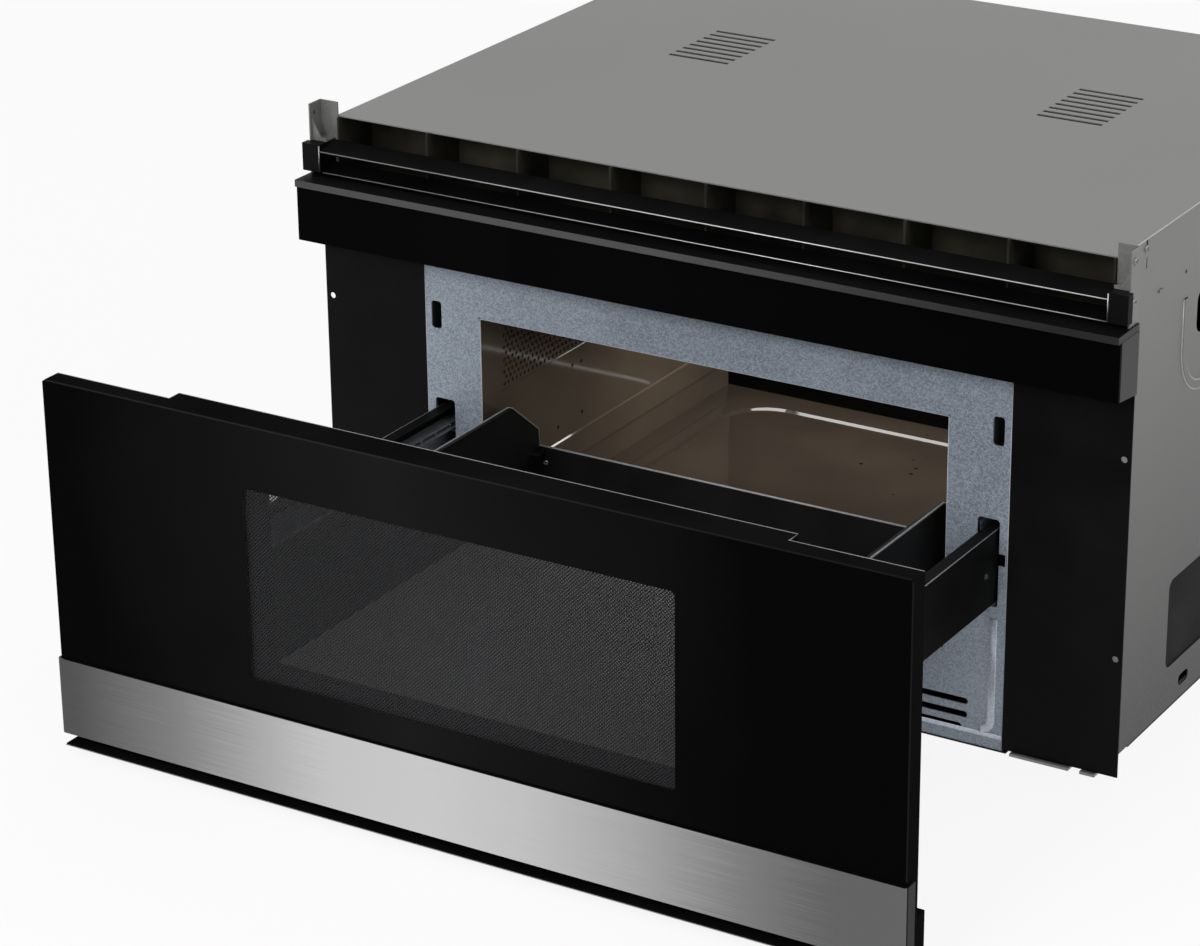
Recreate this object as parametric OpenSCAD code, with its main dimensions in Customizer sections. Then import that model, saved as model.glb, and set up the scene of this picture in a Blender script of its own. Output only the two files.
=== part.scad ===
// Built-in microwave drawer, shown with the drawer pulled out 341 mm.
// X runs across the front, Y runs into the cabinet, Z is up.
// The origin is on the underside of the base pan, at mid width, in line with
// the front face of the mounting flanges.

/* [Case] */
// Distance from each edge of the front plate out to the case side
case_side = 85.4; // [76:0.2:88]
// Depth of the case behind the front face of the flanges
case_d = 590; // [560:1:640]
// Height of the bay over the cavity, up to the top of the case
bay_h = 156.6; // [155:0.2:178]
// Thickness of the case sheet
case_sheet = 1; // [0.8:0.1:1.2]

/* [Mounting flanges] */
// How far each flange stands out past the case side
flange_reach = 16.4; // [15:0.2:18]
// Thickness of the flange sheet
flange_sheet = 1.2; // [1:0.1:1.5]
// Underside of the flanges above the base
flange_low = 3; // [2:0.5:6]
// Diameter of the cabinet screw holes
flange_hole_d = 5.5; // [4:0.5:7]
// Height of the lower cabinet screw holes
flange_hole_low = 105.7; // [80:0.1:140]
// Height of the upper cabinet screw holes
flange_hole_high = 275.4; // [240:0.1:300]
// Distance from a flange's outer edge to its screw holes
flange_hole_inset = 6.1; // [5:0.1:9]

/* [Cavity] */
// Clear width of the cavity
cavity_w = 439.6; // [430:0.2:441]
// Clear height of the cavity
cavity_h = 200.8; // [196:0.2:204]
// Depth of the cavity behind the front plate
cavity_d = 421; // [415:1:440]
// Height of the cavity floor
cavity_z = 80.6; // [79:0.2:82]
// Thickness of the cavity sheet
cavity_sheet = 1.2; // [1:0.1:1.4]
// Diameter of a vent hole in the cavity wall
vent_hole_d = 3.6; // [3:0.1:4]
// Distance between vent holes
vent_pitch = 6.4; // [6:0.1:8]

/* [Front plate] */
// Width of the galvanised front plate beside the cavity opening
plate_side = 54.8; // [54:0.2:58]
// Thickness of the front plate
plate_sheet = 1.2; // [1:0.1:1.4]
// Height of the cooling slots under the drawer opening
cool_slot_h = 5.6; // [4:0.1:7]

/* [Drawer front] */
// How far the door glass stands out past each flange
glass_reach = 2.6; // [1:0.2:4]
// Gap between the top of the door glass and the control panel
panel_gap = 13; // [10:1:16]
// Gap between the handle trim and the door glass
trim_gap = 1.2; // [1:0.1:3]
// Thickness of the door glass
glass_t = 3; // [2.5:0.1:4]
// Width of the clear window in the glass
window_w = 380; // [340:1:400]
// Height of the clear window
window_h = 160; // [140:1:170]
// Height of the window above the lower edge of the glass
window_rise = 25.3; // [24:0.1:30]
// Depth of the drawer front at its thin outer margin
rim_depth = 19.4; // [18:0.1:22]
// Depth of the drawer front over its choke
door_depth = 33.4; // [32:0.1:34]
// How far the choke stops short of each edge of the front plate
choke_inset = 2.6; // [2:0.2:5]
// Height of the stainless handle trim
trim_h = 66; // [60:1:68]
// Height of the finger pull under the handle trim
pull_h = 10; // [9:0.5:12]
// How far the handle trim stands proud of the glass
trim_proud = 2.6; // [1.5:0.1:4]
// Underside of the sill plate above the base
sill_low = 6.5; // [5:0.5:8]

/* [Tray] */
// Running gap between a tray side and the cavity wall
tray_side_gap = 12.3; // [10:0.1:14]
// Gap between the closed tray and the cavity back
tray_back_gap = 12.4; // [10:0.2:20]
// Height of the tray sides
tray_side_h = 113.4; // [106:0.2:120]
// Height of the tray back
tray_back_h = 62.4; // [56:0.2:76]
// Top face of the ceramic tray plate above the cavity floor
tray_plate_rise = 18.2; // [17:0.2:24]
// Thickness of the ceramic tray plate
tray_plate_t = 5; // [4:0.5:6]
// Thickness of the tray sheet
tray_sheet = 1.2; // [1:0.1:1.5]

/* [Control panel] */
// Height of the control glass
panel_h = 48; // [45:0.5:50]
// Distance from the top of the case down to the cap's seam
panel_drop = 55; // [52:0.5:58]
// Height of the cap trim
cap_h = 6; // [5:0.5:8]
// Distance from the control glass to the flange face
panel_depth = 34.5; // [33:0.5:38]
// How far the tie strips rise past the top of the case
strip_rise = 12; // [8:1:18]

/* [Travel] */
// How far the drawer is pulled out in the model
shown_open = 341; // [320:1:341]
// Gap between the closed drawer front and the flange face
closed_gap = 1; // [0.8:0.1:1.5]

/* [Drive gears] */
// Tooth module of the rack and gears
gear_module = 1.5; // [1.4:0.05:1.5]
// Teeth on each idler gear
idler_teeth = 32; // [30:2:34]
// Teeth on each cross shaft gear
shaft_teeth = 24; // [24:4:24]
// Play between meshing flanks
gear_play = 0.3; // [0.2:0.05:0.4]

/* [Hidden] */

$fn = 48;
fine_fn = 96;
small_fn = 24;
// How far cuts run past a face, and the gap kept between pieces that only meet
overrun = 1;
slip = 0.3;
half_cavity = cavity_w / 2;
half_plate = half_cavity + plate_side;
half_case = half_plate + case_side;
inner_half = half_case - case_sheet;
half_flange = half_case + flange_reach;
half_glass = half_flange + glass_reach;

// Places along Y that follow from the travel and the drawer front
closed_front = closed_gap + door_depth;
door_front = -closed_front - shown_open;
door_back = door_front + door_depth;
rim_back = door_front + rim_depth;
plate_front = 0.2;
plate_back = plate_front + plate_sheet;
cavity_back_y = plate_back + cavity_d;
case_front = flange_sheet;
tray_len = cavity_back_y + closed_gap - tray_back_gap;
tray_back = door_back + tray_len;

// Heights that follow from the cavity and the bay over it
cavity_top = cavity_z + cavity_h;
case_h = cavity_top + bay_h;
panel_high = case_h - panel_drop;
panel_low = panel_high - panel_h;
glass_top = panel_low - panel_gap;
sill_t = 2;
trim_low = sill_low + sill_t + pull_h;
trim_top = trim_low + trim_h;
glass_low = trim_top + trim_gap;
window_low = glass_low + window_rise;

// Drop of the control housing's underside towards the back
housing_drop = 4;

// Rail slot in the front plate, and the slide members that pass through it
rail_gap = 27.5;
slot_w = 19.6;
slot_rise = 45.9;
slot_h = 75.8;
slot_in = half_cavity + rail_gap;
slot_out = slot_in + slot_w;
slot_low = cavity_z + slot_rise;
slot_high = slot_low + slot_h;
rail_sheet = 1.2;
rail_side_gap = 2.4;
rail_low_gap = 4.1;
rail_top_gap = 8.3;
rail_top = slot_high - rail_top_gap;
rail_low = slot_low + rail_low_gap;
rail_out = slot_out - rail_side_gap;
rail_flange_w = 11;
rail_past = 11;
rail_len = tray_len + rail_past;
rail_rear = door_back + rail_len;
ball_gap = 3.4;
side_gap = 1.5;
slide_rise = 5.4;
slide_drop = 12.5;
slide_side_gap = 4.7;
slide_low = rail_low + slide_rise;
slide_high = rail_top - slide_drop;
slide_in = slot_in + slide_side_gap;

// Involute gears, drawn in the plane of the local X and Y axes
pressure = 20;
tip_share = 0.9;
root_share = 1.2;
flank_steps = 4;
gear_face = 8;
gear_clear = 0.5;
gear_in = slide_in + gear_clear;
gear_out = gear_in + gear_face;
rack_drop = 6.5;
rack_pitch_z = slide_low - rack_drop;
idler_r = gear_module * idler_teeth / 2;
shaft_r = gear_module * shaft_teeth / 2;
idler_y = 32;
idler_z = rack_pitch_z - idler_r;
shaft_z = idler_z - idler_r - shaft_r;
axle_r = 4;
running_fit = 0.05;
cross_shaft_r = 5;

// Screws: pan heads with short shanks
head_r = 3.2;
head_h = 1.8;
shank_r = 1.6;
shank_hole_r = shank_r + running_fit;

// A box between two opposite corners
module span(low, high) translate(low) cube(high - low);

// A rectangle between two opposite corners
module rect(low, high) translate(low) square(high - low);

// A rectangle with true round corners
module round_rect(low, high, r) {
  rect(low + [r, 0], high - [r, 0]);
  rect(low + [0, r], high - [0, r]);
  for (x = [low.x + r, high.x - r], z = [low.y + r, high.y - r])
    translate([x, z]) circle(r);
}

// Sheets cut from flat outlines, in the three main planes
module sheet_xz(front, t) translate([0, front + t, 0]) rotate([90, 0, 0]) linear_extrude(t) children();
module sheet_yz(left, t) translate([left, 0, 0]) rotate([90, 0, 90]) linear_extrude(t) children();
module sheet_xy(low, t) translate([0, 0, low]) linear_extrude(t) children();

// A round bar along X, Y or Z from a start point
module bar_x(at, r, length) translate(at) rotate([0, 90, 0]) cylinder(h = length, r = r);
module bar_y(at, r, length) translate(at) rotate([-90, 0, 0]) cylinder(h = length, r = r);
module bar_z(at, r, length) translate(at) cylinder(h = length, r = r);

module left_side() mirror([1, 0, 0]) children();
module both_sides() {
  children();
  left_side() children();
}

function inv(a) = tan(a) - a * PI / 180;

// Points of one gear tooth: both flanks follow the involute of the base circle
function tooth_points(teeth, middle) =
  let (r = gear_module * teeth / 2,
    base = r * cos(pressure),
    tip = r + gear_module * tip_share,
    half = 90 / teeth - gear_play / r * 45 / PI,
    radii = [for (k = [0:flank_steps]) base + (tip - base) * k / flank_steps],
    turn = [for (q = radii) half + (inv(pressure) - inv(acos(min(1, base / q)))) * 180 / PI])
  concat(
    [for (k = [0:flank_steps]) radii[k] * [cos(middle - turn[k]), sin(middle - turn[k])]],
    [for (k = [flank_steps:-1:0]) radii[k] * [cos(middle + turn[k]), sin(middle + turn[k])]]);

module gear_outline(teeth, first) {
  root = gear_module * (teeth / 2 - root_share);
  gap = 360 / teeth;
  polygon([for (i = [0:teeth - 1])
    let (middle = first + i * gap)
    each concat([root * [cos(middle - gap / 3), sin(middle - gap / 3)]],
      tooth_points(teeth, middle),
      [root * [cos(middle + gap / 3), sin(middle + gap / 3)]])]);
}

/* Case */

// Stamped hand hold and service cut-outs of a side panel, in Y and Z
hold_y = 199;
hold_half = 70;
hold_r = 45;
bead_w = 6;
bead_rise = 1.2;
hand_half = 42;
hand_h = 37;
hand_drop = 76;
hand_high = case_h - hand_drop;
hand_low = hand_high - hand_h;
hand_r = 10;
hold_past = 2;
hold_h = 87.5;
hold_high = hand_high + hold_past;
hold_low = hold_high - hold_h;
vent_y = [128.5, 372];
vent_z = [40.5, 120];
vent_r = 8;
oval_y = [157.5, 177.5];
oval_z = [13.5, 23.5];
oval_r = 4.9;
relief_y = 50;
relief_w = 1.6;
relief_h = 9;
relief_drop = 15;
relief_high = case_h - relief_drop;
notch_d = 6;
pilot_d = 3.4;
lance_y = [76.5, 83.5];
lance_drop = 51;
lance_z = case_h - lance_drop;
pilot_at = [130.3, lance_z];
lance_rise = 1;
side_low = 3;
screw_edge = 30;
top_screw_y = 48.8;
top_screw_drop = 7.5;
rear_screw_drop = 38;
rear_screw_z = 60;
low_screw_in = 170;
side_screws = [[top_screw_y, case_h - top_screw_drop],
  [case_d - screw_edge, case_h - rear_screw_drop],
  [case_d - screw_edge, rear_screw_z], [case_d - low_screw_in, screw_edge]];

module side_outline() difference() {
  rect([case_front, side_low], [case_d, case_h]);
  round_rect([hold_y - hand_half, hand_low], [hold_y + hand_half, hand_high], hand_r);
  round_rect([vent_y[0], vent_z[0]], [vent_y[1], vent_z[1]], vent_r);
  round_rect([oval_y[0], oval_z[0]], [oval_y[1], oval_z[1]], oval_r);
  rect([relief_y, relief_high - relief_h], [relief_y + relief_w, relief_high]);
  rect([relief_y - relief_w, case_h - notch_d], [relief_y + relief_w, case_h + overrun]);
  translate(pilot_at) circle(d = pilot_d);
  for (p = side_screws) translate(p) circle(shank_hole_r, $fn = small_fn);
}

// The U-shaped stiffening bead round the hand hole
module hold_bead() {
  left = hold_y - hold_half;
  right = hold_y + hold_half;
  for (y = [left, right - bead_w])
    rect([y, hold_low + hold_r], [y + bead_w, hold_high]);
  rect([left + hold_r, hold_low], [right - hold_r, hold_low + bead_w]);
  intersection() {
    for (y = [left + hold_r, right - hold_r])
      translate([y, hold_low + hold_r]) difference() {
        circle(hold_r);
        circle(hold_r - bead_w);
      }
    union() {
      rect([left, hold_low], [left + hold_r, hold_low + hold_r]);
      rect([right - hold_r, hold_low], [right, hold_low + hold_r]);
    }
  }
}

module side_panel() {
  sheet_yz(inner_half, case_sheet) side_outline();
  sheet_yz(half_case, bead_rise) hold_bead();
  sheet_yz(half_case, lance_rise)
    rect([lance_y[0], lance_z - lance_rise], [lance_y[1], lance_z + lance_rise]);
}
module side_panel_right() color("#8f8f8f") side_panel();
module side_panel_left() color("#8f8f8f") left_side() side_panel();

// Dark plates that close the large side cut-outs from inside
screen_lap = 6;
module side_vent_screens() color("#4c4c4c") both_sides()
  sheet_yz(inner_half - case_sheet, case_sheet)
    rect([vent_y[0] - screen_lap, vent_z[0] - screen_lap],
      [vent_y[1] + screen_lap, vent_z[1] + screen_lap]);

louvre_w = 60;
louvre_h = 5;
louvre_n = 8;
louvre_step = 12;
top_vent_y = case_d / 2;
module top_panel() color("#9a9a9a")
  sheet_xy(case_h - case_sheet, case_sheet) difference() {
    rect([-inner_half, case_front], [inner_half, case_d - case_sheet]);
    for (x = [-inner_half / 2, inner_half / 2], i = [0:louvre_n - 1])
      translate([x - louvre_w / 2, top_vent_y + i * louvre_step]) square([louvre_w, louvre_h]);
  }

rear_vent_z = case_h / 4;
module rear_panel() color("#9a9a9a")
  sheet_xz(case_d - case_sheet, case_sheet) difference() {
    rect([-inner_half, pan_sheet], [inner_half, case_h]);
    for (side = [-1, 1], i = [0:louvre_n - 1])
      translate([side * inner_half / 2 - louvre_w / 2, rear_vent_z + i * louvre_step])
        square([louvre_w, louvre_h]);
  }

// Base pan: a flat floor whose front edge lies under the front plate
pan_sheet = 1.2;
pan_front = -0.4;
pan_nose_past = 4;
pan_nose_half = half_plate + pan_nose_past;
pan_set_back = 8;
pan_rim_h = 16;
foot_in_gap = 8.4;
foot_split = 25;
foot_gap = 10;
foot_edge = 2;
foot_inner = [half_plate + foot_in_gap, half_case - foot_split];
foot_outer = [half_case - foot_split + foot_gap, half_case - foot_edge];
foot_front = -3;
foot_back = 60;
foot_lap = 18;
foot_t = 2.4;
module base_pan() color("#2b2b2b") {
  sheet_xy(0, pan_sheet) difference() {
    union() {
      rect([-pan_nose_half, pan_front], [pan_nose_half, pan_set_back + overrun]);
      rect([-inner_half, pan_set_back], [inner_half, case_d]);
    }
    both_sides() {
      rect([foot_inner[0] - slip, pan_set_back - overrun], [foot_inner[1] + slip, foot_back]);
      rect([foot_outer[0] - slip, pan_set_back - overrun], [inner_half + overrun, foot_back]);
    }
  }
  both_sides() sheet_yz(inner_half - case_sheet, case_sheet)
    rect([foot_back, 0], [case_d - case_sheet, pan_rim_h]);
}

// Light feet in the front corners of the pan, each lapped over its edge
module foot(across) {
  sheet_xy(0, foot_t) rect([across[0], foot_front], [across[1], foot_back]);
  sheet_xy(pan_sheet, foot_t - pan_sheet)
    rect([across[0], foot_back], [across[1] - case_sheet, foot_back + foot_lap]);
}
module front_feet() color("#c4c6c8") both_sides() {
  foot(foot_inner);
  foot(foot_outer);
}

/* Front of the case */

flange_in = half_plate + slip;
flange_top = panel_high;
flange_return = 17;
flange_hole_x = half_flange - flange_hole_inset;
module cabinet_flanges() color("#151515") both_sides() {
  sheet_xz(0, flange_sheet) difference() {
    rect([flange_in, flange_low], [half_flange, flange_top]);
    for (z = [flange_hole_low, flange_hole_high])
      translate([flange_hole_x, z]) circle(d = flange_hole_d);
  }
  sheet_yz(inner_half - flange_sheet, flange_sheet)
    rect([flange_sheet, pan_rim_h + slip], [flange_sheet + flange_return, flange_top]);
}

// Slots, beads and reliefs of the galvanised front plate
plate_low = pan_sheet;
plate_margin = 1;
plate_top = panel_low - housing_drop - plate_margin;
side_notch_l = 5.6;
side_notch_h = 10.5;
side_notch_rise = 36.5;
side_notch_z = slot_low + side_notch_rise;
notch_r = 1;
hook_slot_w = 10;
hook_slot_h = 24.5;
hook_slot_past = 1.7;
hook_slot_rise = 8.3;
hook_slot_x = slot_out + hook_slot_past - hook_slot_w;
hook_slot_z = cavity_top + hook_slot_rise - hook_slot_h;
hook_slot_r = 3;
slot_r = 3;
corner_relief_d = 3;
cool_slot_z = [37.8, 25.8, 14.6];
cool_slot_inset = [31.1, 31.4, 36.4];
cool_slot_l = 80;
cool_end_share = 0.49;
plate_bead_w = 8;
plate_bead_inset = 10.3;
plate_bead_x = half_plate - plate_bead_inset;
plate_bead_z = [26, 116];
plate_bead_r = 9;
plate_bead_rise = 0.4;
plate_return = 12;
module plate_bead() {
  left = plate_bead_x - plate_bead_w / 2;
  turn_x = plate_bead_x - plate_bead_r;
  rect([left, plate_bead_z[0]], [left + plate_bead_w, plate_bead_z[1]]);
  intersection() {
    translate([turn_x, plate_bead_z[0]]) difference() {
      circle(plate_bead_r + plate_bead_w / 2);
      circle(plate_bead_r - plate_bead_w / 2);
    }
    rect([turn_x, 0], [left + plate_bead_w, plate_bead_z[0]]);
  }
}
module front_plate() color("#8e96a3") {
  sheet_xz(plate_front, plate_sheet) difference() {
    rect([-half_plate, plate_low], [half_plate, plate_top]);
    rect([-half_cavity, cavity_z], [half_cavity, cavity_top]);
    both_sides() {
      translate([half_cavity, cavity_top]) circle(d = corner_relief_d);
      round_rect([slot_in, slot_low], [slot_out, slot_high], slot_r);
      round_rect([slot_out - slot_r, side_notch_z],
        [slot_out + side_notch_l, side_notch_z + side_notch_h], notch_r);
      round_rect([hook_slot_x, hook_slot_z],
        [hook_slot_x + hook_slot_w, hook_slot_z + hook_slot_h], hook_slot_r);
      for (i = [0:len(cool_slot_z) - 1])
        round_rect([half_plate - cool_slot_inset[i] - cool_slot_l,
            cool_slot_z[i] - cool_slot_h / 2],
          [half_plate - cool_slot_inset[i], cool_slot_z[i] + cool_slot_h / 2],
          cool_slot_h * cool_end_share);
    }
  }
  both_sides() {
    sheet_xz(plate_front - plate_bead_rise, plate_bead_rise) plate_bead();
    sheet_yz(half_plate - plate_sheet, plate_sheet)
      rect([plate_back, plate_low], [plate_back + plate_return, plate_top]);
  }
}

/* Cavity */

step_side = 36.8;
step_half = half_cavity - step_side;
step_front = 32;
step_back = 31;
step_r = 45;
step_depth = 2.5;
cavity_front = plate_back;
wall_out = half_cavity + cavity_sheet;
module floor_step(grow) round_rect([-step_half - grow, cavity_front + step_front - grow],
  [step_half + grow, cavity_back_y - step_back + grow], step_r + grow);
module cavity_floor() color("#4a4138") {
  sheet_xy(cavity_z - cavity_sheet, cavity_sheet) difference() {
    rect([-half_cavity, cavity_front], [half_cavity, cavity_back_y]);
    floor_step(0);
  }
  sheet_xy(cavity_z - step_depth - cavity_sheet, step_depth + cavity_sheet) difference() {
    floor_step(cavity_sheet);
    floor_step(0);
  }
  sheet_xy(cavity_z - step_depth - cavity_sheet, cavity_sheet) floor_step(0);
}

// Side wall of the cavity, with its raised lower band and its vent field
band_over = 23.1;
band_h = 24.3;
band_z = [cavity_z + band_over, cavity_z + band_over + band_h];
band_rise = 1.2;
field_in = 34.6;
field_len = 128;
field_h = 60;
field_drop = 10.4;
field_y = cavity_front + field_in;
field_z = cavity_top - field_drop - field_h;
field_margin = 4.5;
field_rise = 0.6;
wall_hole_d = 3;
wall_holes = [[143.6, 111.4], [158.6, 110.4], [158.6, 62.4], [118.6, 61.4]];
hex_share = sin(60);
module vent_field() {
  row_step = vent_pitch * hex_share;
  for (row = [0:floor(field_h / row_step)], col = [0:floor(field_len / vent_pitch)])
    translate([field_y + col * vent_pitch + (row % 2) * vent_pitch / 2,
      field_z + row * row_step]) circle(d = vent_hole_d, $fn = small_fn);
}
module cavity_wall() color("#4a4138") {
  sheet_yz(half_cavity, cavity_sheet) difference() {
    rect([cavity_front, cavity_z - cavity_sheet], [cavity_back_y, cavity_top + cavity_sheet]);
    vent_field();
    for (p = wall_holes) translate([cavity_front, cavity_z] + p)
      circle(d = wall_hole_d, $fn = small_fn);
  }
  sheet_xz(cavity_front, cavity_d) polygon([[half_cavity, band_z[0]],
    [half_cavity - band_rise, band_z[0] + band_rise],
    [half_cavity - band_rise, band_z[1] - band_rise], [half_cavity, band_z[1]]]);
  sheet_yz(half_cavity - field_rise, field_rise)
    rect([field_y - field_margin, field_z - field_margin - field_rise],
      [field_y + field_len + field_margin, field_z - field_margin]);
}
module cavity_right_wall() cavity_wall();
module cavity_left_wall() left_side() cavity_wall();

dome_r = 92;
dome_y = cavity_front + cavity_d / 2;
dome_h = 26;
dome_sheet = 1;
dome_lip = 10;
lamp_hole_d = 24;
lamp_side = 59.8;
lamp_x = half_cavity - lamp_side;
module cavity_ceiling() color("#4a4138")
  sheet_xy(cavity_top, cavity_sheet) difference() {
    rect([-half_cavity, cavity_front], [half_cavity, cavity_back_y]);
    translate([0, dome_y]) circle(dome_r, $fn = fine_fn);
    translate([-lamp_x, dome_y]) circle(d = lamp_hole_d);
  }

back_bead_inset = 26;
back_bead_w = 5;
back_bead_r = 18;
module back_ring(inset, r) round_rect([inset - half_cavity, cavity_z + inset],
  [half_cavity - inset, cavity_top - inset], r);
module cavity_back() color("#181614") {
  sheet_xz(cavity_back_y, cavity_sheet)
    rect([-wall_out, cavity_z - cavity_sheet], [wall_out, cavity_top + cavity_sheet]);
  sheet_xz(cavity_back_y - cavity_sheet, cavity_sheet) difference() {
    back_ring(back_bead_inset, back_bead_r);
    back_ring(back_bead_inset + back_bead_w, back_bead_r - back_bead_w);
  }
}

// Lamp over its hole in the ceiling: a socket cup with the bulb inside
lamp_cup_r = 15;
lamp_cup_h = 24;
lamp_wall = 1.5;
bulb_r = 6;
bulb_lift = 3;
module cavity_lamp() color("#e8e0c8") {
  lamp_low = cavity_top + cavity_sheet;
  difference() {
    bar_z([-lamp_x, dome_y, lamp_low], lamp_cup_r, lamp_cup_h);
    bar_z([-lamp_x, dome_y, lamp_low - overrun], lamp_cup_r - lamp_wall,
      lamp_cup_h - lamp_wall + overrun);
  }
  bar_z([-lamp_x, dome_y, lamp_low + bulb_lift], bulb_r, lamp_cup_h - lamp_wall - bulb_lift);
}

/* Control panel and louvre */

housing_inset = 0.7;
housing_half = half_glass - housing_inset;
housing_wall = 1.4;
control_glass_t = 3;
control_front = -panel_depth;
housing_front = control_front + control_glass_t;
module housing_side(wall, back) polygon([
  [housing_front + wall, panel_low + wall],
  [back, panel_low - housing_drop + wall],
  [back, panel_high - wall],
  [housing_front + wall, panel_high - wall]]);
module control_housing() color("#3c3c3c") difference() {
  sheet_yz(-housing_half, 2 * housing_half) housing_side(0, 0);
  sheet_yz(housing_wall - housing_half, 2 * (housing_half - housing_wall))
    housing_side(housing_wall, overrun);
}
module control_glass() color("#0b0b0b") sheet_xz(control_front, control_glass_t)
  rect([-housing_half, panel_low], [housing_half, panel_high]);

cap_proud = 3;
cap_front = control_front - cap_proud;
cap_sheet = 1.5;
cap_inset = 1;
cap_half = half_glass - cap_inset;
cap_top = panel_high + cap_h;
cap_rib_half = 6;
module cap_trim() color("#8a8a8a") {
  span([-cap_half, cap_front, cap_top - cap_sheet], [cap_half, 0, cap_top]);
  span([-cap_half, cap_front, panel_high],
    [cap_half, cap_front + cap_sheet, cap_top - cap_sheet]);
  both_sides() span([cap_half - cap_sheet, cap_front + cap_sheet, panel_high],
    [cap_half, 0, cap_top - cap_sheet]);
  for (x = [-cap_half / 2, 0, cap_half / 2])
    span([x - cap_rib_half, housing_front, panel_high],
      [x + cap_rib_half, 0, cap_top - cap_sheet]);
}

board_t = 1.6;
board_side = 78.3;
board_half = housing_half - board_side;
board_gap = 4;
board_margin = 6;
board_post_r = 2;
chip = [24, 8, 12];
chip_step = 60;
chip_side_n = 4;
module control_board() color("#1f5b38") {
  front = housing_front + housing_wall;
  span([-board_half, front + board_gap, panel_low + board_margin],
    [board_half, front + board_gap + board_t, panel_high - board_margin]);
  for (i = [-chip_side_n:chip_side_n])
    translate([i * chip_step - chip.x / 2, front + board_gap + board_t,
      (panel_low + panel_high - chip.z) / 2]) cube(chip);
  for (x = [board_margin - board_half, board_half - board_margin],
      z = [panel_low + 2 * board_margin, panel_high - 2 * board_margin])
    bar_y([x, front, z], board_post_r, board_gap);
}

// End blocks of the louvre, with the strips and ledges that hold them
end_reach = 15;
end_proud = 2.2;
end_gap = 5;
end_h = 24;
end_in = half_flange - end_reach;
end_out = half_flange + end_proud;
end_front = -24;
end_low = cap_top + end_gap;
end_high = end_low + end_h;
end_wall = 2;
strip_front = -15.8;
strip_sheet = 1.2;
strip_in = half_flange - strip_sheet;
strip_screw_y = -9.3;
strip_top = case_h + strip_rise;
strip_screw_rise = 14.5;
strip_screw_drop = 9;
strip_screw_z = [end_low + strip_screw_rise, strip_top - strip_screw_drop];
module louvre_ends() color("#3a3a3a") both_sides() {
  difference() {
    union() {
      span([end_in, end_front, end_low], [end_out, strip_front, end_high]);
      span([end_in, strip_front, end_low], [strip_in, 0, end_high]);
    }
    span([end_in + end_wall, end_front + end_wall, end_low + end_wall],
      [strip_in - end_wall, overrun, end_high - end_wall]);
    bar_x([strip_in - end_wall - overrun, strip_screw_y, strip_screw_z[0]], shank_hole_r,
      end_wall + 2 * overrun);
  }
  span([end_in + end_wall, end_front / 2, cap_top], [strip_in - end_wall, 0, end_low]);
}

ledge_front = -13;
ledge_sheet = 1.2;
lip_h = 3;
gusset_set = 5.6;
gusset_h = 18;
module tie_strips() color("#b5b5b5") both_sides() {
  sheet_yz(strip_in, strip_sheet) difference() {
    rect([strip_front, cap_top], [0, strip_top]);
    for (z = strip_screw_z)
      translate([strip_screw_y, z]) circle(shank_hole_r, $fn = small_fn);
  }
  sheet_xz(0, flange_sheet) rect([inner_half - flange_sheet, flange_top],
    [half_flange, strip_top]);
  span([end_in, ledge_front, end_high], [strip_in, 0, end_high + ledge_sheet]);
  sheet_xz(ledge_front, ledge_sheet) polygon([[end_in, end_high], [strip_in, end_high],
    [strip_in, end_high + gusset_h], [end_in + gusset_set, end_high + lip_h],
    [end_in, end_high + lip_h]]);
}

// Each blade is a sloping sheet with a rolled front bead
blade_t = 1.4;
blade_bead_r = 1.1;
upper_nose_y = -23.4;
upper_nose_rise = 18;
lower_nose_y = -19;
lower_nose_drop = 1.5;
blade_rise = 5;
blade_back = -2;
module blade(nose) sheet_yz(-end_in, 2 * end_in) {
  polygon([nose + [0, -blade_t / 2], [blade_back, nose.y + blade_rise - blade_t / 2],
    [blade_back, nose.y + blade_rise + blade_t / 2], nose + [0, blade_t / 2]]);
  translate(nose) circle(blade_bead_r, $fn = small_fn);
}
module louvre_blades() color("#9a9a9a") {
  blade([upper_nose_y, end_low + upper_nose_rise]);
  blade([lower_nose_y, end_low - lower_nose_drop]);
}

// Sheet duct behind the blades, with its upright ribs
duct_sheet = 1;
duct_rib_n = 9;
duct_rib_t = 2;
duct_top = case_h - case_sheet;
duct_back = 46;
duct_half = inner_half - flange_sheet - slip;
module louvre_duct() color("#232323") {
  span([-duct_half, blade_back, cap_top], [duct_half, duct_back, cap_top + duct_sheet]);
  span([-duct_half, duct_back - duct_sheet, cap_top + duct_sheet],
    [duct_half, duct_back, duct_top]);
  for (i = [0:duct_rib_n - 1])
    translate([-duct_half + i * (2 * duct_half - duct_rib_t) / (duct_rib_n - 1),
      blade_back, cap_top + duct_sheet])
      cube([duct_rib_t, duct_back - duct_sheet - blade_back, duct_top - cap_top - duct_sheet]);
}

// Pan head screws: four on each side panel, two on each tie strip
side_shank = 4;
module case_screws() color("#c9c9c9") both_sides() {
  for (p = side_screws) {
    bar_x([half_case, p.x, p.y], head_r, head_h);
    bar_x([half_case - side_shank, p.x, p.y], shank_r, side_shank);
  }
  for (z = strip_screw_z) {
    bar_x([half_flange, strip_screw_y, z], head_r, head_h);
    bar_x([half_flange - side_shank + overrun, strip_screw_y, z], shank_r,
      side_shank - overrun);
  }
}

/* Drawer rails */

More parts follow.
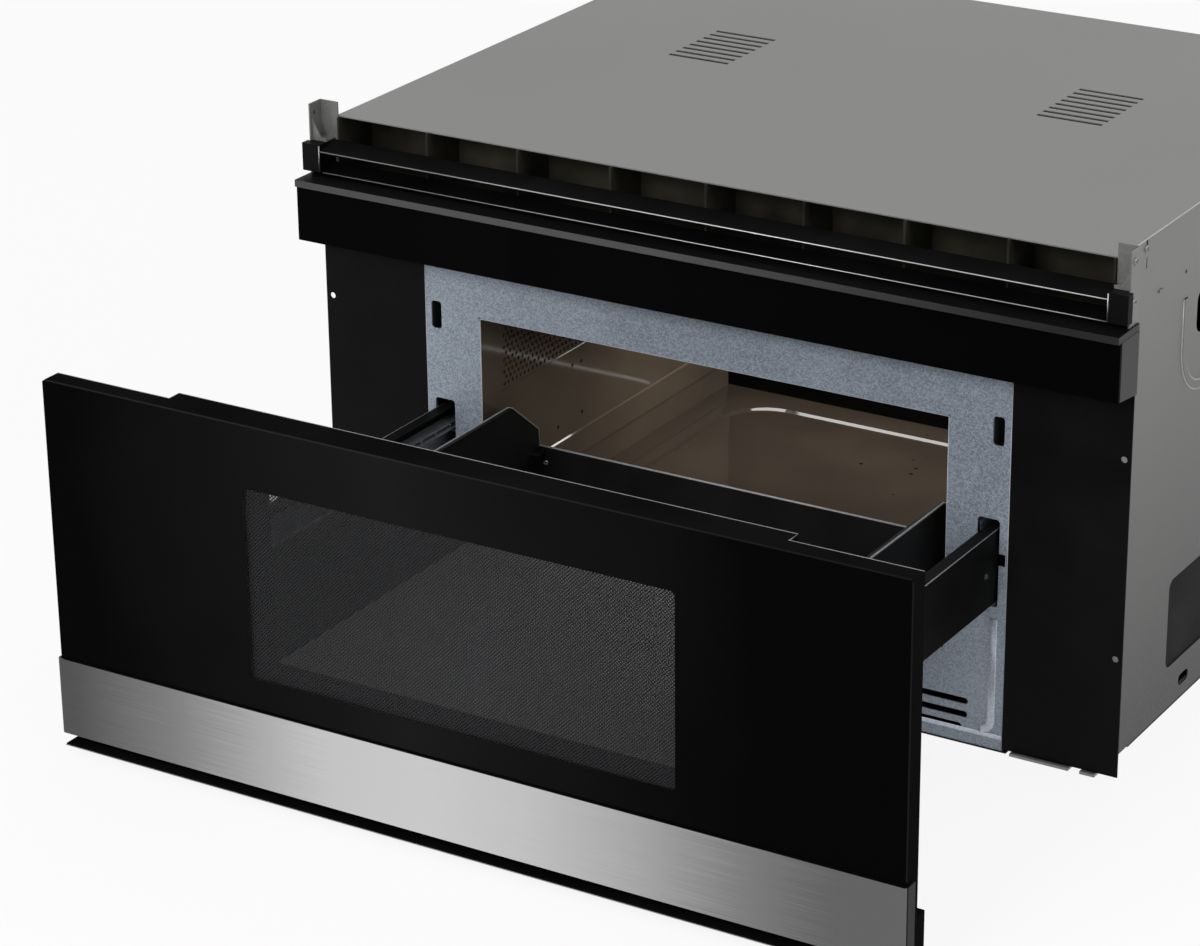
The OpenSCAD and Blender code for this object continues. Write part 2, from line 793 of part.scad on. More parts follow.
carrier_drop = 8.5;
carrier_top_gap = 6.3;
carrier_low = slot_low - carrier_drop;
carrier_high = slot_high - carrier_top_gap;
carrier_front = 6;
carrier_tab_half = 12;
carrier_tab = [idler_y - carrier_tab_half, idler_y + carrier_tab_half];
fixed_clear = 0.5;
fixed_web = slot_in + fixed_clear;
fixed_w = 9.2;
fixed_out = fixed_web + fixed_w;
axle_past = 1.5;
axle_end = gear_out + axle_past;
axle_tab_drop = 12;
axle_tab_low = idler_z - axle_tab_drop;
axle_collar_r = 6;
module rail_carrier() color("#9aa0a6") {
  sheet_yz(fixed_web - rail_sheet, rail_sheet) {
    rect([carrier_front, carrier_low], [cavity_back_y, carrier_high]);
    rect([carrier_tab[0], axle_tab_low], [carrier_tab[1], carrier_low]);
  }
  for (z = [carrier_low, carrier_high - rail_sheet])
    span([wall_out, carrier_front, z],
      [fixed_web - rail_sheet, cavity_back_y, z + rail_sheet]);
  bar_x([fixed_web, idler_y, idler_z], axle_r, axle_end - fixed_web);
  bar_x([fixed_web, idler_y, idler_z], axle_collar_r, gear_in - slip - fixed_web);
}
module rail_carrier_right() rail_carrier();
module rail_carrier_left() left_side() rail_carrier();

// Nested channels: the drawer member wraps the middle one, which wraps the fixed one
mid_low = slide_low + rail_sheet + ball_gap;
mid_high = slide_high - rail_sheet - ball_gap;
fixed_low = mid_low + rail_sheet + ball_gap;
fixed_high = mid_high - rail_sheet - ball_gap;
drawer_web = rail_out - rail_sheet;
mid_web = drawer_web - rail_sheet - side_gap;
mid_in = slide_in - side_gap;
slide_start = 6;
slide_short = 12;
slide_len = rail_len - slide_short;
mid_inset = 2;
mid_shift = shown_open / 2;
fixed_range = [slide_start, slide_start + slide_len];
mid_range = fixed_range - [mid_inset + mid_shift, mid_inset + mid_shift];
drawer_range = [door_back + 2 * mid_inset, rail_rear];
module channel_in(low, high, tip, web, range) {
  span([web - rail_sheet, range[0], low], [web, range[1], high]);
  for (z = [low, high - rail_sheet])
    span([tip, range[0], z], [web - rail_sheet, range[1], z + rail_sheet]);
}
module channel_out(low, high, web, tip, range) {
  span([web, range[0], low], [web + rail_sheet, range[1], high]);
  for (z = [low, high - rail_sheet])
    span([web + rail_sheet, range[0], z], [tip, range[1], z + rail_sheet]);
}
module fixed_slide_right() color("#b9bcc0")
  channel_out(fixed_low, fixed_high, fixed_web, fixed_out, fixed_range);
module fixed_slide_left() left_side() fixed_slide_right();
// Balls of the middle member run in the members around and inside it
ball_r = 1.6;
ball_lift = 1.5;
ball_set = 2.5;
ball_x = slide_in + ball_set;
ball_n = 10;
ball_step = 22;
ball_inset = 14;
module ball_row(z, start) for (i = [0:ball_n - 1])
  translate([ball_x, start + i * ball_step, z]) sphere(ball_r);
module mid_slide_right() color("#b9bcc0") {
  row_len = (ball_n - 1) * ball_step;
  channel_in(mid_low, mid_high, mid_in, mid_web, mid_range);
  for (z = [mid_low - ball_lift, mid_high + ball_lift])
    ball_row(z, mid_range[0] + ball_inset);
  for (z = [mid_low + rail_sheet + ball_lift, mid_high - rail_sheet - ball_lift])
    ball_row(z, mid_range[1] - ball_inset - row_len);
}
module mid_slide_left() left_side() mid_slide_right();

// The drawer member carries the drive rack under its lower flange
rack_pitch = gear_module * PI;
rack_set_back = 2;
rack_back = rail_rear - rack_set_back;
rack_front = door_back + slide_start;
rack_root_z = rack_pitch_z + gear_module * root_share;
function rack_tooth(y) =
  let (half = rack_pitch / 4 - gear_play / 4,
    tip = gear_module * tip_share,
    root = gear_module * root_share)
  [[y - half - root * tan(pressure), rack_root_z],
    [y - half + tip * tan(pressure), rack_pitch_z - tip],
    [y + half - tip * tan(pressure), rack_pitch_z - tip],
    [y + half + root * tan(pressure), rack_root_z]];
module rack() {
  first = ceil((rack_front - idler_y + rack_pitch) / rack_pitch);
  last = floor((rack_back - idler_y - rack_pitch) / rack_pitch);
  sheet_yz(gear_in, gear_face) polygon(concat(
    [[rack_front, slide_low], [rack_front, rack_root_z]],
    [for (i = [first:last]) each rack_tooth(idler_y + i * rack_pitch)],
    [[rack_back, rack_root_z], [rack_back, slide_low]]));
}
module drawer_slide_right() color("#b9bcc0") {
  channel_in(slide_low, slide_high, slide_in, drawer_web, drawer_range);
  rack();
}
module drawer_slide_left() left_side() drawer_slide_right();

// Black bracket that ties the drawer member to the drawer front
rivet_r = 2.4;
rivet_h = 0.8;
rivet_y_shares = [0.08, 0.42, 0.77, 0.95];
rivet_rise = 29.4;
rivet_z = rail_low + rivet_rise;
module rail_bracket_right() color("#1c1c1c") {
  span([rail_out - rail_sheet, door_back, rail_low], [rail_out, rail_rear, rail_top]);
  span([rail_out - rail_flange_w, door_back, rail_top - rail_sheet],
    [rail_out - rail_sheet, rail_rear, rail_top]);
  span([rail_out - rail_flange_w, door_back, slide_high + slip],
    [rail_out - rail_sheet, door_back + rail_sheet, rail_top - rail_sheet]);
  for (share = rivet_y_shares)
    bar_x([rail_out, door_back + share * (rail_rear - door_back), rivet_z], rivet_r, rivet_h);
}
module rail_bracket_left() left_side() rail_bracket_right();

/* Drive */

hub_r = 8;
hub_len = 3;
module idler_gear_right() color("#d8d2c0") difference() {
  sheet_yz(gear_in, gear_face) translate([idler_y, idler_z])
    gear_outline(idler_teeth, 90 + 180 / idler_teeth);
  bar_x([gear_in - overrun, idler_y, idler_z], axle_r + running_fit,
    gear_face + 2 * overrun);
}
module idler_gear_left() left_side() idler_gear_right();

shaft_past = 4;
shaft_half = gear_out + shaft_past;
module cross_shaft() color("#b9bcc0") {
  bar_x([-shaft_half, idler_y, shaft_z], cross_shaft_r, 2 * shaft_half);
  both_sides() {
    sheet_yz(gear_in, gear_face) translate([idler_y, shaft_z]) gear_outline(shaft_teeth, 90);
    bar_x([gear_in - hub_len, idler_y, shaft_z], hub_r, hub_len);
  }
}

bearing_set = 20.5;
bearing_x = gear_in - bearing_set;
bearing_t = 8;
bearing_half = 12;
module shaft_bearings() color("#2f2f2f") both_sides() difference() {
  union() {
    span([bearing_x, idler_y - bearing_half, pan_sheet],
      [bearing_x + bearing_t, idler_y + bearing_half, shaft_z]);
    bar_x([bearing_x, idler_y, shaft_z], bearing_half, bearing_t);
  }
  bar_x([bearing_x - overrun, idler_y, shaft_z], cross_shaft_r + running_fit,
    bearing_t + 2 * overrun);
}

// Gearmotor: a box on the pan with the shaft through it, and its round motor
gearbox_x = [96, 132];
gearbox_len = 44;
motor_r = 18;
motor_len = 58;
motor_back = 26;
motor_drop = 27.5;
motor_y = idler_y + motor_back;
motor_z = shaft_z - motor_drop;
module drawer_motor() color("#4a4f55") {
  difference() {
    span([gearbox_x[0], idler_y - bearing_half, pan_sheet],
      [gearbox_x[1], idler_y + gearbox_len, shaft_z + bearing_half]);
    bar_x([gearbox_x[0] - overrun, idler_y, shaft_z], cross_shaft_r + running_fit,
      gearbox_x[1] - gearbox_x[0] + 2 * overrun);
  }
  bar_x([gearbox_x[1], motor_y, motor_z], motor_r, motor_len);
}

/* Interlock */

hook_mid = hook_slot_x + hook_slot_w / 2;
hook_half = 2.5;
hook_low_gap = 2.8;
hook_top_gap = 3.7;
hook_z = [hook_slot_z + hook_low_gap, hook_slot_z + hook_slot_h - hook_top_gap];
hook_len = 42;
hook_notch = [23, 34];
hook_notch_h = 6;
hook_plate_in = 9;
hook_plate_out = 4.5;
hook_plate_t = closed_gap + plate_front - slip;
hook_plate_lap = 6;
hook_plate_z = [hook_z[0] - hook_plate_lap, hook_z[1] + hook_plate_lap];
module latch_hooks() color("#e6e2d6") both_sides() {
  span([hook_mid - hook_plate_in, door_back, hook_plate_z[0]],
    [hook_mid + hook_plate_out, door_back + hook_plate_t, hook_plate_z[1]]);
  difference() {
    span([hook_mid - hook_half, door_back + hook_plate_t, hook_z[0]],
      [hook_mid + hook_half, door_back + hook_len, hook_z[1]]);
    span([hook_mid - hook_half - overrun, door_back + hook_notch[0], hook_z[0] - overrun],
      [hook_mid + hook_half + overrun, door_back + hook_notch[1],
        hook_z[0] + hook_notch_h]);
  }
}

// Switch housings behind the hook slots, each with its sprung plunger
switch_wall = 2.5;
tunnel_y = door_back + shown_open + hook_len;
switch_body = 24;
tunnel_half = 4.5;
tunnel_rise = 6;
tunnel_past = 2;
plunger_r = 3;
plunger_travel = 3;
plunger_len = 16;
plunger_y = tunnel_y + slip;
plunger_z = (hook_z[0] + hook_z[1]) / 2;
module interlock_housings() color("#303030") both_sides() difference() {
  span([hook_mid - tunnel_half - switch_wall, plate_back,
      hook_z[0] - tunnel_rise - switch_wall],
    [hook_mid + tunnel_half + switch_wall, tunnel_y + switch_body,
      hook_z[1] + tunnel_rise + switch_wall]);
  span([hook_mid - tunnel_half, plate_back - overrun, hook_z[0] - tunnel_rise],
    [hook_mid + tunnel_half, tunnel_y + tunnel_past, hook_z[1] + tunnel_rise]);
  bar_y([hook_mid, tunnel_y, plunger_z], plunger_r + running_fit,
    plunger_len + plunger_travel + overrun);
}
module interlock_plunger_right() color("#c8332b")
  bar_y([hook_mid, plunger_y, plunger_z], plunger_r, plunger_len);
module interlock_plunger_left() left_side() interlock_plunger_right();

/* Microwave source */

dome_low = cavity_top + cavity_sheet;
stir_lift = 8;
stir_z = cavity_top + stir_lift;
stir_gap = 18;
stir_r = dome_r - stir_gap;
stir_t = 1.5;
stir_disc_r = 25;
stir_shaft_r = 4;
stir_blade_w = 34;
stir_blade_in = 18;
module stirrer_dome() color("#a7a9ab") difference() {
  union() {
    bar_z([0, dome_y, dome_low], dome_r + dome_lip, dome_sheet, $fn = fine_fn);
    bar_z([0, dome_y, dome_low], dome_r, dome_h, $fn = fine_fn);
  }
  bar_z([0, dome_y, dome_low - overrun], dome_r - dome_sheet,
    dome_h - dome_sheet + overrun, $fn = fine_fn);
  bar_z([0, dome_y, dome_low], stir_shaft_r + running_fit, dome_h + overrun);
}
guide_h = 34;
guide_w = 90;
guide_wall = 1;
guide_low = dome_low + dome_h;
guide_top = guide_low + guide_h;
guide_x = [-50, 250];
stir_motor_r = 24;
stir_motor_h = 22;
stir_bore = 11;
tube_set = 45;
tube_x = guide_x[1] - tube_set;
antenna_r = 8;
antenna_len = 22;
module stirrer_antenna() color("#c2c4c6") translate([0, dome_y, stir_z]) {
  cylinder(h = stir_t, r = stir_disc_r);
  for (turn = [0:90:270]) rotate([0, 0, turn]) intersection() {
    translate([stir_blade_in, -stir_blade_w / 2, 0]) cube([stir_r, stir_blade_w, stir_t]);
    cylinder(h = stir_t, r = stir_r);
  }
  cylinder(h = guide_top + stir_bore - slip - stir_z, r = stir_shaft_r);
}
module waveguide() color("#a7a9ab") difference() {
  span([guide_x[0], dome_y - guide_w / 2, guide_low],
    [guide_x[1], dome_y + guide_w / 2, guide_top]);
  span([guide_x[0] + guide_wall, dome_y - guide_w / 2 + guide_wall, guide_low + guide_wall],
    [guide_x[1] - guide_wall, dome_y + guide_w / 2 - guide_wall, guide_top - guide_wall]);
  bar_z([0, dome_y, guide_low - overrun], stir_shaft_r + running_fit,
    guide_h + 2 * overrun);
  bar_z([tube_x, dome_y, guide_low + guide_h / 2], antenna_r + slip, guide_h);
}
module stirrer_motor() color("#3b3b3b") difference() {
  bar_z([0, dome_y, guide_top], stir_motor_r, stir_motor_h);
  bar_z([0, dome_y, guide_top - overrun], stir_shaft_r + running_fit, stir_bore + overrun);
}
cover_t = 0.8;
cover_lap = 6;
module stirrer_cover() color("#d9d2bd")
  bar_z([0, dome_y, cavity_top - cover_t], dome_r + cover_lap, cover_t, $fn = fine_fn);

// Magnetron: antenna, finned anode block between its yoke plates
yoke = [86, 80, 2];
yoke_gap = 50;
fin_n = 9;
fin_t = 0.8;
anode_r = 20;
module magnetron() color("#c4b06a") translate([tube_x, dome_y, guide_top]) {
  translate([0, 0, -antenna_len]) cylinder(h = antenna_len, r = antenna_r);
  for (z = [0, yoke_gap]) translate([-yoke.x / 2, -yoke.y / 2, z]) cube(yoke);
  cylinder(h = yoke_gap, r = anode_r);
  for (i = [1:fin_n])
    translate([-yoke.x / 2, -yoke.y / 2, yoke.z + i * (yoke_gap - yoke.z) / (fin_n + 1)])
      cube([yoke.x, yoke.y, fin_t]);
  for (y = [-yoke.y / 2, yoke.y / 2 - yoke.z])
    translate([-yoke.x / 2, y, 0]) cube([yoke.x, yoke.z, yoke_gap]);
}

// Inverter supply on the base pan at the left
inverter_side = 24;
inverter_at = [inverter_side - inner_half, 150];
inverter_board = [110, 230, 1.6];
board_lift = 8;
post_inset = 7;
post_r = 2.4;
core_at = [8, 20];
core = [60, 54, 50];
can_at = [40, 115];
can_r = 20;
can_h = 44;
sink_at = [70, 120];
sink = [36, 90, 3];
sink_fin = [1.5, 90, 40];
sink_fin_n = 7;
module inverter() color("#30623f") translate([inverter_at.x, inverter_at.y, pan_sheet]) {
  board_top = board_lift + inverter_board.z;
  translate([0, 0, board_lift]) cube(inverter_board);
  for (x = [post_inset, inverter_board.x - post_inset],
      y = [post_inset, inverter_board.y - post_inset])
    translate([x, y, 0]) cylinder(h = board_lift, r = post_r);
  translate([core_at.x, core_at.y, board_top]) cube(core);
  translate([can_at.x, can_at.y, board_top]) cylinder(h = can_h, r = can_r);
  translate([sink_at.x, sink_at.y, board_top]) {
    cube(sink);
    for (i = [0:sink_fin_n - 1])
      translate([i * (sink.x - sink_fin.x) / (sink_fin_n - 1), 0, sink.z]) cube(sink_fin);
  }
}

// Axial cooling fan in the space behind the cavity, at the right
fan_r = 54;
fan_mouth_r = 58;
fan_ring = 62;
fan_t = 36;
fan_gap = 2;
fan_arm = [38, 3, 6];
fan_motor_r = 22;
fan_motor_l = 30;
fan_depth = fan_t - fan_arm.y + fan_motor_l;
fan_side = 69;
fan_back_share = 0.453125;
fan_front_y = cavity_back_y + cavity_sheet;
fan_room = case_d - case_sheet - fan_front_y - fan_depth;
fan_at = [inner_half - fan_side, fan_front_y + fan_back_share * fan_room, 90];
fan_hub_r = 18;
fan_hub_l = 27;
fan_shaft_r = 3;
fan_bore = 15;
fan_blades = 7;
fan_blade_t = 2;
fan_blade_in = 11;
fan_blade_inset = 1.5;
fan_pitch = 35;
module fan_place() translate(fan_at) rotate([-90, 0, 0]) children();
module fan_housing() color("#262626") {
  difference() {
    span([fan_at.x - fan_ring, fan_at.y, pan_sheet],
      [fan_at.x + fan_ring, fan_at.y + fan_t, fan_at.z + fan_ring]);
    fan_place() translate([0, 0, -overrun]) cylinder(h = fan_t + 2 * overrun, r = fan_mouth_r);
  }
  fan_place() for (turn = [45:90:315])
    rotate([0, 0, turn]) translate([fan_motor_r, -fan_arm.z / 2, fan_t - fan_arm.y])
      cube([fan_arm.x, fan_arm.z, fan_arm.y]);
}
module fan_motor() color("#5a5d60") fan_place() difference() {
  translate([0, 0, fan_t - fan_arm.y]) cylinder(h = fan_motor_l, r = fan_motor_r);
  translate([0, 0, fan_t - fan_arm.y - overrun])
    cylinder(h = fan_bore + overrun, r = fan_shaft_r + running_fit);
}
module fan_rotor() color("#1e1e1e") fan_place() translate([0, 0, fan_gap]) {
  cylinder(h = fan_hub_l, r = fan_hub_r);
  cylinder(h = fan_t - fan_arm.y - fan_gap + fan_bore - slip, r = fan_shaft_r);
  for (i = [0:fan_blades - 1]) rotate([0, 0, i * 360 / fan_blades]) intersection() {
    translate([0, 0, fan_hub_l / 2]) rotate([fan_pitch, 0, 0])
      translate([fan_blade_in, -fan_blade_t / 2, -fan_r / 2])
        cube([fan_r, fan_blade_t, fan_r]);
    translate([0, 0, fan_blade_inset])
      cylinder(h = fan_hub_l - 2 * fan_blade_inset, r = fan_r);
  }
}

/* Drawer front */

frame_wall = 2;
frame_t = 1.2;
rim_front = door_front + glass_t;
sill_proud = 1;
choke_below = 29.6;
deep_low = cavity_z - choke_below;
sill_back_in = 2;
choke_half = half_plate - choke_inset;
choke_drop = 1;
pull_back = rim_back - frame_wall;
choke_top = glass_top - choke_drop;
low_back = door_back - sill_back_in;
window_high = window_low + window_h;
window_margin = 12;
window_r = 4;

// Plan of the handle trim, drawn in by an inset all round
trim_sheet = 1.2;
trim_over = 1.2;
trim_wrap = 8;
trim_r = 3;
trim_half = half_glass + trim_over + trim_sheet;
trim_front = door_front - trim_proud;
wrap_back = rim_front + trim_wrap;
module trim_plan(inset) intersection() {
  round_rect([inset - trim_half, trim_front + inset], [trim_half - inset, wrap_back + trim_wrap],
    trim_r - inset);
  rect([-trim_half, trim_front], [trim_half, wrap_back]);
}
module handle_trim() color("#a3a3a3") difference() {
  sheet_xy(trim_low, trim_h) trim_plan(0);
  sheet_xy(trim_low - overrun, trim_h + 2 * overrun) translate([0, overrun]) trim_plan(trim_sheet);
  sheet_xy(trim_low - overrun, trim_h + 2 * overrun) trim_plan(trim_sheet);
}

module frame_body() {
  span([-half_glass, rim_front, sill_low + sill_t], [half_glass, rim_back, glass_top - slip]);
  span([-half_glass, rim_back, sill_low + sill_t], [half_glass, low_back, deep_low]);
  span([-choke_half, rim_back, deep_low], [choke_half, door_back, choke_top]);
  sheet_xy(trim_low + frame_wall, trim_h - 2 * frame_wall) trim_plan(trim_sheet);
}
module frame_hollow() {
  span([frame_wall - half_glass, rim_front - overrun, trim_top],
    [half_glass - frame_wall, rim_back - frame_t, glass_top - slip - frame_wall]);
  span([frame_wall - half_glass, rim_front + frame_wall, trim_low + frame_wall],
    [half_glass - frame_wall, rim_back - frame_t, trim_top + overrun]);
  span([frame_wall - half_glass, rim_front + frame_wall, trim_low + frame_wall],
    [half_glass - frame_wall, low_back - frame_t, deep_low - frame_wall]);
  span([frame_wall - choke_half, rim_front + frame_wall, deep_low - frame_wall],
    [choke_half - frame_wall, door_back - frame_t, choke_top - frame_wall]);
}
module window_outline(margin) round_rect([-window_w / 2 - margin, window_low - margin],
  [window_w / 2 + margin, window_high + margin], window_r);
module door_frame() color("#141414") {
  difference() {
    frame_body();
    frame_hollow();
    span([-half_glass - overrun, door_front - overrun, sill_low + sill_t],
      [half_glass + overrun, pull_back, trim_low]);
    sheet_xz(rim_front, door_depth + overrun) window_outline(0);
  }
  span([-half_glass, door_front - sill_proud, sill_low],
    [half_glass, low_back, sill_low + sill_t]);
}
glass_r = 1.5;
module door_glass() color("#0d0d0d") sheet_xz(door_front, glass_t)
  round_rect([-half_glass, glass_low], [half_glass, glass_top], glass_r);

screen_t = 0.8;
screen_hole_d = 6;
screen_pitch = 15.5;
screen_edge = 20;
screen_cols = floor((window_w - screen_edge) / screen_pitch);
screen_rows = floor((window_h - screen_edge) / screen_pitch);
module window_screen() color("#2a2a2a") sheet_xz(rim_front, screen_t) difference() {
  window_outline(window_margin);
  for (i = [0:screen_cols - 1], j = [0:screen_rows - 1])
    translate([(i - (screen_cols - 1) / 2) * screen_pitch,
      (window_low + window_high) / 2 + (j - (screen_rows - 1) / 2) * screen_pitch])
      circle(d = screen_hole_d, $fn = small_fn);
}
inner_glass_t = 3;
module inner_window() color("#3a3d40")
  sheet_xz(door_back - frame_t - inner_glass_t, inner_glass_t) window_outline(window_margin);

/* Tray */

tray_half = half_cavity - tray_side_gap;
tray_lift = 3;
tray_low = cavity_z + tray_lift;
tray_peak_back = 48.5;
tray_peak_y = tray_back - tray_peak_back;
tray_side_top = tray_low + tray_side_h;
tray_back_top = tray_low + tray_back_h;
tray_plate_top = cavity_z + tray_plate_rise;
tray_gusset_rise = 15.5;
tray_gusset_z = tray_back_top + tray_gusset_rise;
tray_ease_y = 7;
tray_ease_z = 3;
tray_top_flange = 4.5;
tray_tab_gap = 1;
tray_tab_len = 14;
tray_tab_drop = 4;
tray_tab_w = 7;
pan_top = tray_plate_top - tray_plate_t;
module tray_side_outline() {
  polygon([[door_back, tray_low], [tray_back, tray_low], [tray_back, tray_back_top],
    [tray_back - tray_sheet, tray_gusset_z],
    [tray_peak_y + tray_ease_y, tray_side_top - tray_ease_z],
    [tray_peak_y, tray_side_top], [door_back, tray_side_top]]);
}
module tray_shell() color("#1a1a1a") {
  both_sides() {
    sheet_yz(tray_half - tray_sheet, tray_sheet) tray_side_outline();
    span([tray_half - tray_top_flange, door_back, tray_side_top - tray_sheet],
      [tray_half - tray_sheet, tray_peak_y, tray_side_top]);
    span([tray_half - tray_sheet - tray_tab_w, tray_back - tray_tab_gap - tray_tab_len,
        tray_back_top - tray_tab_drop - tray_sheet],
      [tray_half - tray_sheet, tray_back - tray_tab_gap - tray_sheet,
        tray_back_top - tray_tab_drop]);
  }
  sheet_xz(tray_back - tray_sheet, tray_sheet)
    rect([tray_sheet - tray_half, tray_low], [tray_half - tray_sheet, tray_back_top]);
  sheet_xy(pan_top - tray_sheet, tray_sheet)
    rect([tray_sheet - tray_half, door_back], [tray_half - tray_sheet, tray_back - tray_sheet]);
}
plate_gap = 1;
tray_plate_r = 6;
module tray_plate() color("#c9c5bb") sheet_xy(pan_top, tray_plate_t)
  round_rect([tray_sheet + plate_gap - tray_half, door_back + plate_gap],
    [tray_half - tray_sheet - plate_gap, tray_back - tray_sheet - plate_gap], tray_plate_r);

side_panel_left();
side_panel_right();
top_panel();
rear_panel();
base_pan();
front_feet();
side_vent_screens();
cabinet_flanges();
front_plate();
cavity_floor();
cavity_left_wall();
cavity_right_wall();
cavity_ceiling();
cavity_back();
cavity_lamp();
control_housing();
control_glass();
cap_trim();
control_board();
louvre_ends();
louvre_blades();
louvre_duct();
tie_strips();
case_screws();
rail_carrier_left();
rail_carrier_right();
fixed_slide_left();
fixed_slide_right();
mid_slide_left();
mid_slide_right();
drawer_slide_left();
drawer_slide_right();
rail_bracket_left();
rail_bracket_right();
idler_gear_left();
idler_gear_right();
cross_shaft();
shaft_bearings();
drawer_motor();
interlock_housings();
interlock_plunger_left();
interlock_plunger_right();
stirrer_dome();
stirrer_antenna();
stirrer_motor();
stirrer_cover();
waveguide();
magnetron();
inverter();
fan_housing();
fan_motor();
fan_rotor();
door_frame();
door_glass();
handle_trim();
window_screen();
inner_window();
tray_shell();
tray_plate();
latch_hooks();
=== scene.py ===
# %% [markdown]
# # A microwave drawer, dressed for its portrait
#
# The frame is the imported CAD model: every sheet, slide and gear of the drawer
# is already a mesh in metres. This lesson gives each of them the finish of the
# real one, adds the pieces that are too fine for the CAD, and sets up the view.

# %% Load the frame
import math

import bmesh
import bpy
import numpy as np
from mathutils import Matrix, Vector


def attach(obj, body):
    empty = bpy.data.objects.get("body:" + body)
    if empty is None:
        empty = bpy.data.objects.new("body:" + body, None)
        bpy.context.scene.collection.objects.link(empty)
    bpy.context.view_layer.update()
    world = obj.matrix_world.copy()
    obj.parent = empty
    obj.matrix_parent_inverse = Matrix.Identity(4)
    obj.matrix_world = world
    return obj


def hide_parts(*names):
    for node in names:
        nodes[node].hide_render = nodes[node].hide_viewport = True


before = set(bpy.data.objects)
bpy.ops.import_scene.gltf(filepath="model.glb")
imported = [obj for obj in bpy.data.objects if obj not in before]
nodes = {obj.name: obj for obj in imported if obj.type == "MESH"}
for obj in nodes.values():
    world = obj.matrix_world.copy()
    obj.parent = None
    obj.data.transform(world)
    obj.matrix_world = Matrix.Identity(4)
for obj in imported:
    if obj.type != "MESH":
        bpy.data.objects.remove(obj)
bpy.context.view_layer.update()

# %% [markdown]
# ## Small tools
#
# Colours are written as the hex values a designer reads from a screen, and one
# function turns them to linear light. One more function adds any shader node
# with its settings and links, so a material reads as a list of what it is made
# of. A last one turns a grid of points, worked out by numpy, into a mesh.


# %% Colour, node and mesh helpers
MM = 0.001


def linear(code):
    """Linear RGBA of an sRGB hex colour such as "#8e96a3"."""
    parts = np.array([int(code[i : i + 2], 16) for i in (1, 3, 5)]) / 255
    low, high = parts / 12.92, ((parts + 0.055) / 1.055) ** 2.4
    return (*np.where(parts <= 0.04045, low, high).tolist(), 1.0)


def wire(tree, node, values):
    """Fills a node's sockets: numbers and colours are set, nodes and sockets are linked."""
    for key, value in values.items():
        if isinstance(value, bpy.types.Node):
            value = value.outputs[0]
        if isinstance(value, bpy.types.NodeSocket):
            tree.links.new(value, node.inputs[key])
        else:
            node.inputs[key].default_value = value


def add(tree, kind, values=None, stops=(), **settings):
    """Adds a node of any kind; stops are a ramp's pairs of place and hex colour."""
    node = tree.nodes.new(kind)
    for name, setting in settings.items():
        setattr(node, name, setting)
    wire(tree, node, values or {})
    for index, (spot, code) in enumerate(stops):
        if index > 1:
            node.color_ramp.elements.new(spot)
        element = node.color_ramp.elements[index]
        element.position, element.color = spot, linear(code)
    return node


def start_material(name):
    """A new material: itself, its node tree, its Principled shader, and Object coordinates."""
    material = bpy.data.materials.new(name)
    material.use_nodes = True
    tree = material.node_tree
    spot = add(tree, "ShaderNodeTexCoord").outputs["Object"]
    return material, tree, tree.nodes["Principled BSDF"], spot


def paint(material, *names):
    """Gives CAD nodes this material in place of their own."""
    for name in names:
        mesh = nodes[name].data
        mesh.materials.clear()
        mesh.materials.append(material)


def quad_mesh(name, points, close_u=False, close_v=False, smooth=True, weld=False):
    """A mesh over points[u, v, 3]: each cell of the grid becomes a quad facing du x dv."""
    nu, nv = points.shape[:2]
    u, v = np.meshgrid(
        np.arange(nu if close_u else nu - 1), np.arange(nv if close_v else nv - 1), indexing="ij"
    )
    u, v = u.ravel(), v.ravel()
    u1, v1 = (u + 1) % nu, (v + 1) % nv
    faces = np.stack([u * nv + v, u1 * nv + v, u1 * nv + v1, u * nv + v1], axis=1)
    mesh = bpy.data.meshes.new(name)
    mesh.from_pydata(points.reshape(-1, 3).tolist(), [], faces.tolist())
    if weld:
        cells = bmesh.new()
        cells.from_mesh(mesh)
        bmesh.ops.remove_doubles(cells, verts=cells.verts, dist=1e-6)
        cells.to_mesh(mesh)
        cells.free()
    mesh.polygons.foreach_set("use_smooth", np.full(len(mesh.polygons), smooth))
    mesh.update()
    piece = bpy.data.objects.new(name, mesh)
    bpy.context.scene.collection.objects.link(piece)
    return piece


print("white is", linear("#ffffff"))

# %% [markdown]
# ## The camera
#
# The photograph was taken from the right and above with a long lens. Its
# bearing, tilt and lens were worked out from the drawer's own straight edges.
# The vertical edges lean very little, so the small offset of the picture's
# middle is kept as a lens shift.

# %% Camera
IMAGE_W, IMAGE_H = 1200, 946
FOCAL_PX = 3813.18
CENTRE_PX = (705.11, 457.66)
YAW, PITCH = math.radians(29.989), math.radians(22.4146)
CAMERA_PLACE = (1.4452, -2.5068, 1.3945)
camera_data = bpy.data.cameras.new("portrait_lens")
camera_data.sensor_width = 36
camera_data.lens = FOCAL_PX / IMAGE_W * camera_data.sensor_width
camera_data.shift_x = (IMAGE_W / 2 - CENTRE_PX[0]) / IMAGE_W
camera_data.shift_y = (CENTRE_PX[1] - IMAGE_H / 2) / IMAGE_W
camera_data.clip_end = 100
camera = bpy.data.objects.new("portrait_camera", camera_data)
camera.location = CAMERA_PLACE
camera.rotation_euler = (math.pi / 2 - PITCH, 0, YAW)
bpy.context.scene.collection.objects.link(camera)
bpy.context.scene.camera = camera
print("lens", round(camera_data.lens, 1), "mm, shift", camera_data.shift_x, camera_data.shift_y)

# %% [markdown]
# ## Floor and light
#
# A product portrait stands on white paper that has no edge. The floor is a
# pale sheet that camera, mirror and glass rays see as nearly plain white,
# while a share of the real paper stays, so that the drawer's soft shadow does
# too. Large soft lamps and an even sky light the object at a level where a
# colour looks as it is written. A strip in the roof of the cavity stands in
# for its own lamp.

